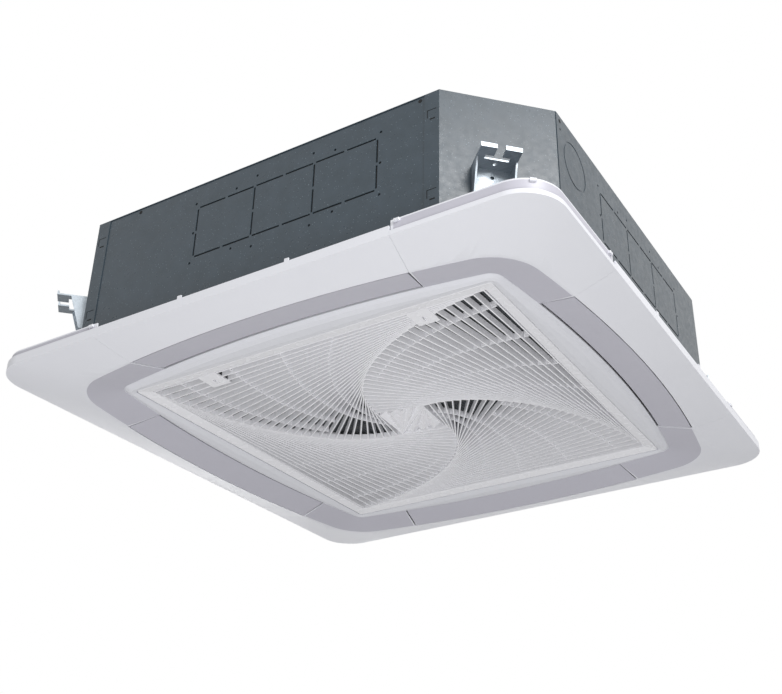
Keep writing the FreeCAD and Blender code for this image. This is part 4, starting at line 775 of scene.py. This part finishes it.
@dataclass
class SwirlGrille:
    """The hinged square of swirling slats: border, slat rings, ribs, latch pads, pins and folded hub."""

    edge: float = 319.6
    edge_corner: float = 5.6
    edge_round: float = 0.6
    opening: float = 302.0
    opening_corner: float = 2.0
    lead_in: float = 0.8
    lead_low: float = 12.8
    lead_top: float = 13.5
    border_low: float = 10.0
    border_top: float = 15.0
    wall_top: float = 23.0
    wall: float = 3.0
    slat_first: float = 300.0
    slat_pitch: float = 7.0
    slat_spread: float = 0.01
    slat_low: float = 13.0
    slat_depth: float = 10.0
    slat_edge: float = 2.2
    slat_root: float = 3.7
    slat_swell: float = 2.7
    slat_nose: float = 0.4
    slat_waist: float = 0.4
    swirl: float = 0.75
    hub_half: float = 41.0
    hub_folds: int = 4
    hub_fold_depth: float = 7.0
    hub_under: float = 0.5
    hub_apex: float = 0.005
    rib_count: int = 6
    rib_end: float = 120.0
    long_rib_share: float = 0.2
    rib_gauge: float = 1.8
    rib_low: float = 17.0
    rib_top: float = 26.6
    rib_steps: int = 12
    pad_place: float = 191.0
    pad_half: float = 17.5
    pad_front: float = -302.0
    pad_back: float = -264.0
    slot_half: tuple[float, float] = (3.0, 6.4)
    pad_under: float = 0.4
    pad_over: float = 2.1
    slot_middle: float = -278.0
    latch_half: float = 11.5
    latch_front: float = -321.0
    latch_room: float = 2.0
    latch_low: float = 15.2
    latch_top: float = 27.0
    hinge: tuple[float, float] = (312.0, 14.0)
    ear_start: float = 313.0
    ear_length: float = 5.0
    ear_radius: float = 3.2
    pin_radius: float = 2.0
    pin_end: float = 325.2
    pin_sides: int = 24

    def turn_of(self, half: np.ndarray) -> np.ndarray:
        """Angle of a ring: it grows with the logarithm of the ring's size."""
        return self.swirl * np.log(np.asarray(half) / self.opening)

    def spun(self, x: np.ndarray, y: np.ndarray, half: np.ndarray) -> np.ndarray:
        """Turn flat points by the angle of the ring that they belong to."""
        angle = self.turn_of(half)
        return np.stack([x * np.cos(angle) - y * np.sin(angle),
                         x * np.sin(angle) + y * np.cos(angle)], axis=-1)

    def ring_halves(self) -> np.ndarray:
        """Half widths of the rings.

        Each step is the pitch plus a share of the half width, so the run is geometric about a fixed
        size: half = (first + fixed) * (1 - share) ** number - fixed, where fixed = pitch / share.

        Returns:
            The half widths, from the border to the hub.
        """
        fixed = self.slat_pitch / self.slat_spread
        last = self.hub_half + self.slat_pitch / 2
        count = int(math.log((last + fixed) / (self.slat_first + fixed)) / math.log(1 - self.slat_spread))
        return (self.slat_first + fixed) * (1 - self.slat_spread) ** np.arange(count + 1) - fixed

    def slats(self) -> Shape:
        """Rings of slats, each a tapered profile carried round a turned square.

        The lower edge is thin and round, and both faces spread towards the root, as a mould needs, so
        each face looks a little downwards.

        Returns:
            All rings, each closed on itself.
        """
        low, top = self.slat_low, self.slat_low + self.slat_depth
        edge, swell, root = self.slat_edge / 2, self.slat_swell / 2, self.slat_root / 2
        nose, waist = low + self.slat_nose, low + self.slat_depth * self.slat_waist
        profile = np.array([(-edge, nose), (0.0, low), (edge, nose), (swell, waist), (root, top),
                            (-root, top), (-swell, waist)])
        corners = np.array([(-1, -1), (1, -1), (1, 1), (-1, 1)])
        rings = []
        for half in self.ring_halves():
            size = half + profile[:, 0]
            flat = self.spun(corners[None, :, 0] * size[:, None], corners[None, :, 1] * size[:, None],
                             np.full((1, 1), half))
            levels = np.broadcast_to(profile[:, 1, None, None], (len(profile), 4, 1))
            rings.append(Shape.grid(np.concatenate([flat, levels], axis=2), wrap_u=True, wrap_v=True))
        return Shape.join(rings)

    def rib_line(self, share: float, quarter: int) -> tuple[np.ndarray, np.ndarray]:
        """Path of one rib and the direction across it.

        Its points keep the same share of each ring's side, from the border to the hub: the ring's half
        width falls geometrically, the point is (half * share, -half), turned with its ring. Only the
        middle ribs reach the hub.

        Args:
            share: Place along the ring's side, from -1 to 1.
            quarter: Quarter turns from the first side.

        Returns:
            The flat points of the path, and at each of them the direction across it.
        """
        first = self.slat_first - self.slat_root
        last = self.hub_half if abs(share) < self.long_rib_share else self.rib_end
        halves = first * (last / first) ** np.linspace(0, 1, self.rib_steps)
        line = self.spun(halves * share, -halves, halves)
        line = line @ np.linalg.matrix_power(np.array([[0, 1], [-1, 0]]), quarter)
        along = np.gradient(line, axis=0)
        along /= np.linalg.norm(along, axis=1)[:, None]
        return line, np.stack([-along[:, 1], along[:, 0]], axis=1)

    def ribs(self) -> Shape:
        """Spiral ribs through the slats, each a thin upright web.

        Returns:
            All ribs, each closed at its ends.
        """
        half, parts = self.rib_gauge / 2, []
        corners = ((-half, self.rib_low), (-half, self.rib_top), (half, self.rib_top), (half, self.rib_low))
        for quarter in range(4):
            for number in range(self.rib_count):
                line, across = self.rib_line((number + 0.5) / self.rib_count * 2 - 1, quarter)
                rows = [np.column_stack([line + across * side, np.full(len(line), level)])
                        for side, level in corners]
                parts.append(Shape.tube(np.stack(rows)))
        return Shape.join(parts)

    def border(self) -> Shape:
        """Border of the square: a profile of rounded squares that closes on itself.

        Returns:
            The closed surface.
        """
        inner, outer, round_off = self.opening, self.opening + self.wall, self.edge_round
        inner_corner, outer_corner = self.opening_corner, self.opening_corner + self.wall
        rows = [(self.edge - round_off, self.edge_corner - round_off, self.border_low),
                (inner + self.lead_in, inner_corner + self.lead_in, self.lead_low),
                (inner, inner_corner, self.lead_top),
                (inner, inner_corner, self.wall_top),
                (outer, outer_corner, self.wall_top),
                (outer, outer_corner, self.border_top),
                (self.edge, self.edge_corner, self.border_top),
                (self.edge, self.edge_corner, self.border_low + round_off)]
        rings = [Shape.rounded_square(half, corner, level) for half, corner, level in rows]
        return Shape.grid(np.stack(rings), wrap_u=True, wrap_v=True)

    def pads(self) -> Shape:
        """Two slotted plates under the latches.

        Returns:
            Both plates, each closed on itself.
        """
        wide, deep = self.slot_half
        plates = []
        for side in (-1, 1):
            middle = side * self.pad_place
            plates.append(Shape.plate_with_hole(
                (middle - self.pad_half, self.pad_front, self.slat_low - self.pad_under),
                (middle + self.pad_half, self.pad_back, self.slat_low + self.pad_over),
                (middle - wide, self.slot_middle - deep), (middle + wide, self.slot_middle + deep)))
        return Shape.join(plates)

    def hub(self) -> Shape:
        """Hub of two pleated fans.

        Each fan covers half of the hub's square. Its folds run from one end of the diagonal to a side
        across from it, and every other fold line is raised there, so the fan is a grid of two rows.

        Returns:
            Both fans, each closed on itself.
        """
        angle = float(self.turn_of(self.hub_half))
        square = np.array([(-1, 1), (-1, -1), (1, -1), (1, 1)]) * self.hub_half
        turn = np.array([[math.cos(angle), math.sin(angle)], [-math.sin(angle), math.cos(angle)]])
        square = square @ turn
        top = self.slat_low + self.slat_depth
        share = np.linspace(0, 1, 2 * self.hub_folds + 1)
        proud = np.where(np.arange(len(share)) % 2, self.hub_fold_depth, 0.0)
        fans = []
        for pivot, side, far in ((1, 2, 3), (3, 0, 1)):
            rim = square[side] + (square[far] - square[side]) * share[:, None]
            apex = np.broadcast_to(square[pivot], rim.shape)
            apex = apex + (rim - apex) * self.hub_apex
            edges = ((apex, self.slat_low), (rim, self.slat_low - self.hub_under + proud),
                     (rim, top), (apex, top))
            rows = [np.column_stack([flat, np.broadcast_to(level, len(rim))]) for flat, level in edges]
            fans.append(Shape.tube(np.stack(rows)))
        return Shape.join(fans)

    def pins(self) -> Shape:
        """Two hinge pins at the back corners, each a turned bar on a small ear.

        The outline is a list of places along the pin's axis with a radius each.

        Returns:
            Both pins.
        """
        angles = np.linspace(0, 2 * math.pi, self.pin_sides, endpoint=False)
        along, height = self.hinge
        shoulder = self.ear_start + self.ear_length
        outline = ((self.ear_start, POLE), (self.ear_start, self.ear_radius), (shoulder, self.ear_radius),
                   (shoulder, self.pin_radius), (self.pin_end, self.pin_radius), (self.pin_end, POLE))
        parts = []
        for side in (-1, 1):
            rows = [np.column_stack([np.full(self.pin_sides, side * x), along + radius * np.cos(angles),
                                     height + radius * np.sin(angles)]) for x, radius in outline]
            parts.append(Shape.lathe(np.stack(rows)))
        return Shape.join(parts)

    def build(self) -> None:
        """Make the moulding's pieces, with the pads' room free of slats and the latches' of all."""
        latch_rooms, pad_rooms = [], []
        for side in (-1, 1):
            middle = side * self.pad_place
            latch_rooms.append(Shape.block(
                (middle - self.latch_half, self.latch_front, self.latch_low),
                (middle + self.latch_half, self.pad_back + self.latch_room, self.latch_top)))
            pad_rooms.append(Shape.block((middle - self.pad_half, self.pad_front, self.border_low),
                                         (middle + self.pad_half, self.pad_back, self.latch_top)))
        slats = put_piece("swirl_slats", self.slats(), "grille_grey", "grille", ["swirl_grille"], 30.0)
        cut_out(slats, pad_rooms, crossing=True)
        border = put_piece("grille_border", self.border(), "grille_grey", "grille", crease_degrees=30.0)
        cut_out(border, latch_rooms)
        put_piece("hinge_pins", self.pins(), "grille_grey", "grille")
        put_piece("folded_hub", self.hub(), "grille_grey", "grille", crease_degrees=15.0)
        ribs = put_piece("spiral_ribs", self.ribs(), "grille_grey", "grille", ["grille_ribs"], 30.0)
        cut_out(ribs, pad_rooms, crossing=True)
        put_piece("latch_pads", self.pads(), "grille_grey", "grille")


@dataclass
class ChannelCorners:
    """Grey inlays that carry the air channel round the white corner covers, from flap to flap."""

    outer: tuple[float, float, float] = (423.0, 2041.0, 85.0)
    inner: tuple[float, float, float] = (363.0, 2077.0, 22.0)
    seam_outer: float = 247.6
    seam_inner: float = 233.6
    rise: float = 12.5
    start: float = 0.035
    end: float = 0.985
    below: float = 0.3
    inside: float = 0.25
    rail_half: float = 471.0
    rail_corner: float = 56.0
    rail_start: float = 260.0
    band_low: float = 21.6
    band_high: float = 37.6
    band_out: float = 0.25
    band_in: float = 0.3
    groove_out: float = 9.0
    groove_over: float = 3.0
    groove_start: float = 240.0
    cover_crease: float = 12.0
    tab_half: float = 4.5
    tab_out: float = 3.4
    tab_in: float = 0.5
    tab_below: float = 3.0
    tab_above: float = 1.2
    tab_margin: float = 1.0
    tab_edge: float = 0.5
    tab_turn: float = 40.0
    steps: int = 14

    def outline(self, size: tuple[float, float, float], seam: float) -> np.ndarray:
        """Give half of a bowed square's corner as points from its seam to the diagonal.

        The side is an arc of radius bow about (0, bow - half); the corner's arc is tangent to it, about
        a point on the diagonal at distance bow - corner from that centre.

        Args:
            size: Half width, bow radius and corner radius.
            seam: Distance of the seam from the middle of the side.

        Returns:
            Flat points, in the order from the seam to the diagonal.
        """
        half, bow, corner = size
        reach = bow - half
        centre = (math.sqrt(2 * (bow - corner) ** 2 - reach ** 2) - reach) / 2
        turn = math.atan2(centre, centre + reach)
        along = np.linspace(math.asin(seam / bow), turn, self.steps)
        side = np.stack([bow * np.sin(along), reach - bow * np.cos(along)], axis=1)
        angles = np.linspace(turn, math.pi / 4, self.steps)[1:]
        bend = np.stack([centre + corner * np.sin(angles), -centre - corner * np.cos(angles)], axis=1)
        return np.concatenate([side, bend])

    def inlay(self) -> Shape:
        """Give the inlay of the front right corner.

        It lies on the straight lines between the two outlines; a point's level is its share of the way
        in times the rise.

        Returns:
            The closed surface.
        """
        edges = []
        for size, seam in ((self.outer, self.seam_outer), (self.inner, self.seam_inner)):
            half = self.outline(size, seam)
            edges.append(np.concatenate([half, -half[-2::-1, ::-1]]))
        outer, inner = edges
        rows = []
        for share, lift in ((self.start, -self.below), (self.end, -self.below),
                            (self.end, self.inside), (self.start, self.inside)):
            flat = outer + (inner - outer) * share
            rows.append(np.column_stack([flat, np.full(len(flat), share * self.rise + lift)]))
        return Shape.tube(np.stack(rows))

    def corner_run(self, inner: float, outer: float, low: float, high: float, start: float) -> Shape:
        """Give a bar round the front right corner, between two distances from the rail's face.

        It runs straight from the seam, round a quarter circle, and straight to the other seam.

        Args:
            inner: Distance of its inner face from the rail's face.
            outer: Distance of its outer face from the rail's face.
            low: Its lower level.
            high: Its upper level.
            start: Where it starts, from the middle of the side.

        Returns:
            The closed surface.
        """
        angles = np.linspace(0, math.pi / 2, self.steps)
        rows = []
        for stand, level in ((outer, low), (outer, high), (inner, high), (inner, low)):
            half, corner = self.rail_half + stand, self.rail_corner + stand
            bend = (half - corner) + corner * np.stack([np.sin(angles), np.cos(angles)], axis=1)
            flat = np.concatenate([[(start, half)], bend, [(half, start)]])
            rows.append(np.column_stack([flat[:, 0], -flat[:, 1], np.full(len(flat), level)]))
        return Shape.tube(np.stack(rows))

    def notch_tabs(self) -> Shape:
        """Give the three small tabs on top of a corner's rail: one at each end and one at the bend.

        Returns:
            All three, each closed on itself.
        """
        low, high, half = self.band_high - self.tab_below, self.band_high + self.tab_above, self.tab_half
        end = self.rail_start + half + self.tab_margin
        out, back = self.rail_half + self.tab_out, self.rail_half - self.tab_in
        tabs = [Shape.block((end - half, -out, low), (end + half, -back, high), self.tab_edge),
                Shape.block((back, -end - half, low), (out, -end + half, high), self.tab_edge)]
        bend = Shape.block((-half, -out, low), (half, -back, high), self.tab_edge)
        middle = self.rail_half - self.rail_corner
        pushed = bend.moved(y=middle).turned(self.tab_turn)
        tabs.append(pushed.moved(x=middle, y=-middle))
        return Shape.join(tabs)

    def build(self) -> None:
        """Make each corner's cover with its low rim, its inlay, the band on its rail and the tabs."""
        groove = self.corner_run(self.band_out, self.groove_out, self.band_low,
                                 self.band_high + self.groove_over, self.groove_start)
        band = self.corner_run(-self.band_in, self.band_out, self.band_low, self.band_high, self.rail_start)
        for corner in Corner:
            turn, label = corner.degrees, corner.label
            cover = copy_node("low_rim_cover_" + label, "corner_cover_" + label, "panel_white", "cabinet")
            cut_out(cover, [groove.turned(turn)], self.cover_crease)
            put_piece("channel_inlay_" + label, self.inlay().turned(turn), "flap_grey", "cabinet")
            put_piece("rail_band_" + label, band.turned(turn), "flap_grey", "cabinet")
            put_piece("rail_tabs_" + label, self.notch_tabs().turned(turn), "panel_white", "cabinet")


@dataclass
class SheetCutShadows:
    """Painted shadows of small openings in the cabinet's sheets: dark blocks for the lances in the posts of
    the long sides, and dark discs for round holes.
    """

    right_place: float = 285.5
    left_place: float = -337.0
    levels: tuple[float, ...] = (241.0, 103.5)
    half_wide: float = 7.5
    half_high: float = 9.0
    line: float = 1.1
    dash: float = 2.2
    proud: float = 0.15
    hole_sides: int = 16
    front_holes: tuple[tuple[float, float, float], ...] = ((-259.0, 274.0, 3.2), (266.0, 274.0, 3.2))
    right_holes: tuple[tuple[float, float, float], ...] = ((-286.0, 271.0, 3.2), (-286.0, 256.0, 1.8))

    def lance(self, x: float, z: float, face: float) -> list[Shape]:
        """Give the painted shadow of one lance: a thin upright, a thin top and a thick dash.

        Args:
            x: Middle of the lance along the side.
            z: Its middle in height.
            face: The y of the sheet's face.

        Returns:
            One dark block of painted shade for each cut.
        """
        left, right = x - self.half_wide, x + self.half_wide
        low, high = z - self.half_high, z + self.half_high
        spans = (((left, low + 2 * self.dash), (left + self.line, high)),
                 ((left, high - self.line), (right, high)),
                 ((left + 2 * self.dash, low), (right - self.dash, low + self.dash)))
        return [Shape.block((a[0], face - self.proud, a[1]), (b[0], face + self.proud, b[1]))
                for a, b in spans]

    def hole(self, x: float, z: float, radius: float, face: float) -> Shape:
        """Give a dark disc of painted shade that stands for a hole; its rings run from the centre round the
        edge and back.

        Args:
            x: Middle of the hole along the side.
            z: Its middle in height.
            radius: Radius of the hole.
            face: The y of the sheet's face.

        Returns:
            The surface of the disc.
        """
        angles = np.linspace(0, 2 * math.pi, self.hole_sides, endpoint=False)
        near, far = face + self.proud, face - self.proud
        rows = [np.column_stack([x + size * np.cos(angles), np.full(self.hole_sides, y),
                                 z + size * np.sin(angles)])
                for size, y in ((POLE, near), (radius, near), (radius, far), (POLE, far))]
        return Shape.lathe(np.stack(rows)[::-1])

    def build(self) -> None:
        """Make the painted shadows of the lances of front and back, and of the holes under the top edge."""
        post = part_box("corner_post_front_right")[0][1] / MM
        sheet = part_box("side_panel_front")[0][1] / MM
        cut_shadows = []
        for side, places in ((Side.FRONT, (self.left_place, self.right_place)),
                             (Side.BACK, (-self.right_place, self.right_place))):
            cut_shadows += [shape.turned(side.degrees) for x in places for z in self.levels
                     for shape in self.lance(x, z, post)]
        cut_shadows += [self.hole(*spot, sheet) for spot in self.front_holes]
        cut_shadows += [self.hole(*spot, post).turned(Side.RIGHT.degrees) for spot in self.right_holes]
        # The dark blocks and discs are painted shade; they take the black foam's finish
        put_piece("sheet_cut_shadows", Shape.join(cut_shadows), "liner_foam", "cabinet")


# Studio


@dataclass(frozen=True)
class SoftBox:
    """A square area lamp that looks at the unit."""

    name: str
    place: tuple[float, float, float]
    size: float
    power: float
    colour: str = "#ffffff"

    def build(self, aim: Vector) -> None:
        """Hang the lamp and turn it to the aim.

        Args:
            aim: Point that the lamp looks at, in metres.
        """
        lamp = bpy.data.lights.new(self.name, "AREA")
        lamp.energy, lamp.size, lamp.color = self.power, self.size, linear(self.colour)[:3]
        holder = bpy.data.objects.new(self.name, lamp)
        holder.location = self.place
        holder.rotation_euler = (aim - Vector(self.place)).to_track_quat("-Z", "Y").to_euler()
        bpy.context.scene.collection.objects.link(holder)


@dataclass(frozen=True)
class Studio:
    """Plain pale room: a floor far below the hanging unit, soft lamps and the photograph's camera."""

    floor_drop: float = 2.4
    floor_size: float = 30.0
    backdrop: str = "#ffffff"
    floor_colour: str = "#f2f2f2"
    floor_roughness: float = 0.8
    ambient: float = 0.32
    lamp_aim: tuple[float, float, float] = (0.0, 0.0, 0.1)
    camera_place: tuple[float, float, float] = (0.8952, -1.4407, -0.7984)
    camera_turn: tuple[float, float, float] = (117.9405, 0.7101, 29.0132)
    lens: float = 51.03
    shift: tuple[float, float] = (-0.0991, 0.0352)
    lamps: tuple[SoftBox, ...] = (
        SoftBox("key", (2.6, -1.5, 1.4), 1.4, 73.0),
        SoftBox("fill", (0.9, -1.9, -1.7), 1.0, 27.0),
        SoftBox("back", (-2.6, 2.4, 1.0), 1.8, 34.0),
    )

    def build(self) -> None:
        """Set up floor, world, lamps, camera and the plain view of colours."""
        self.make_floor()
        self.make_world()
        for lamp in self.lamps:
            lamp.build(Vector(self.lamp_aim))
        self.make_camera()
        bpy.context.scene.view_settings.view_transform = "Standard"

    def seen(self, tree: bpy.types.NodeTree) -> bpy.types.NodeSocket:
        """Give one for rays of the camera and for rays that gloss or glass sends on.

        Args:
            tree: Node tree of the world.

        Returns:
            The socket that holds the one, or zero for all other rays.
        """
        path = add(tree, "LightPath")
        gloss = add(tree, "Math", {0: path.outputs["Is Camera Ray"], 1: path.outputs["Is Glossy Ray"]},
                    operation="MAXIMUM")
        return add(tree, "Math", {0: gloss.outputs["Value"], 1: path.outputs["Is Transmission Ray"]},
                   operation="MAXIMUM").outputs["Value"]

    def make_floor(self) -> None:
        """Lay the pale floor of the room."""
        reach = self.floor_size / 2
        mesh = bpy.data.meshes.new("floor")
        mesh.from_pydata([(-reach, -reach, 0), (reach, -reach, 0), (reach, reach, 0), (-reach, reach, 0)],
                         [], [(0, 1, 2, 3)])
        mesh.transform(Matrix.Translation((0.0, 0.0, -self.floor_drop)))
        material = bpy.data.materials.new("pale_floor")
        material.use_nodes = True
        shader = material.node_tree.nodes["Principled BSDF"]
        shader.inputs["Base Color"].default_value = linear(self.floor_colour)
        shader.inputs["Roughness"].default_value = self.floor_roughness
        mesh.materials.append(material)
        floor = bpy.data.objects.new("floor", mesh)
        bpy.context.scene.collection.objects.link(floor)

    def make_world(self) -> None:
        """Light the room evenly and show white behind the unit."""
        world = bpy.data.worlds.new("studio")
        bpy.context.scene.world = world
        world.use_nodes = True
        tree = world.node_tree
        back = tree.nodes["Background"]
        level = add(tree, "MapRange", {"Value": self.seen(tree), "To Min": self.ambient, "To Max": 1.0})
        back.inputs["Color"].default_value = linear(self.backdrop)
        tree.links.new(level.outputs["Result"], back.inputs["Strength"])

    def make_camera(self) -> None:
        """Set the camera where the photograph was taken from."""
        camera = bpy.data.cameras.new("camera")
        camera.lens, camera.sensor_width = self.lens, 36.0
        camera.shift_x, camera.shift_y = self.shift
        holder = bpy.data.objects.new("camera", camera)
        holder.location = self.camera_place
        holder.rotation_euler = [math.radians(turn) for turn in self.camera_turn]
        bpy.context.scene.collection.objects.link(holder)
        bpy.context.scene.camera = holder


def main() -> None:
    """Build the unit and the studio."""
    logging.basicConfig(level=logging.INFO, format="%(message)s")
    CadNodes().dress()
    SwirlGrille().build()
    ChannelCorners().build()
    SheetCutShadows().build()
    Studio().build()


if __name__ == "__main__":
    main()
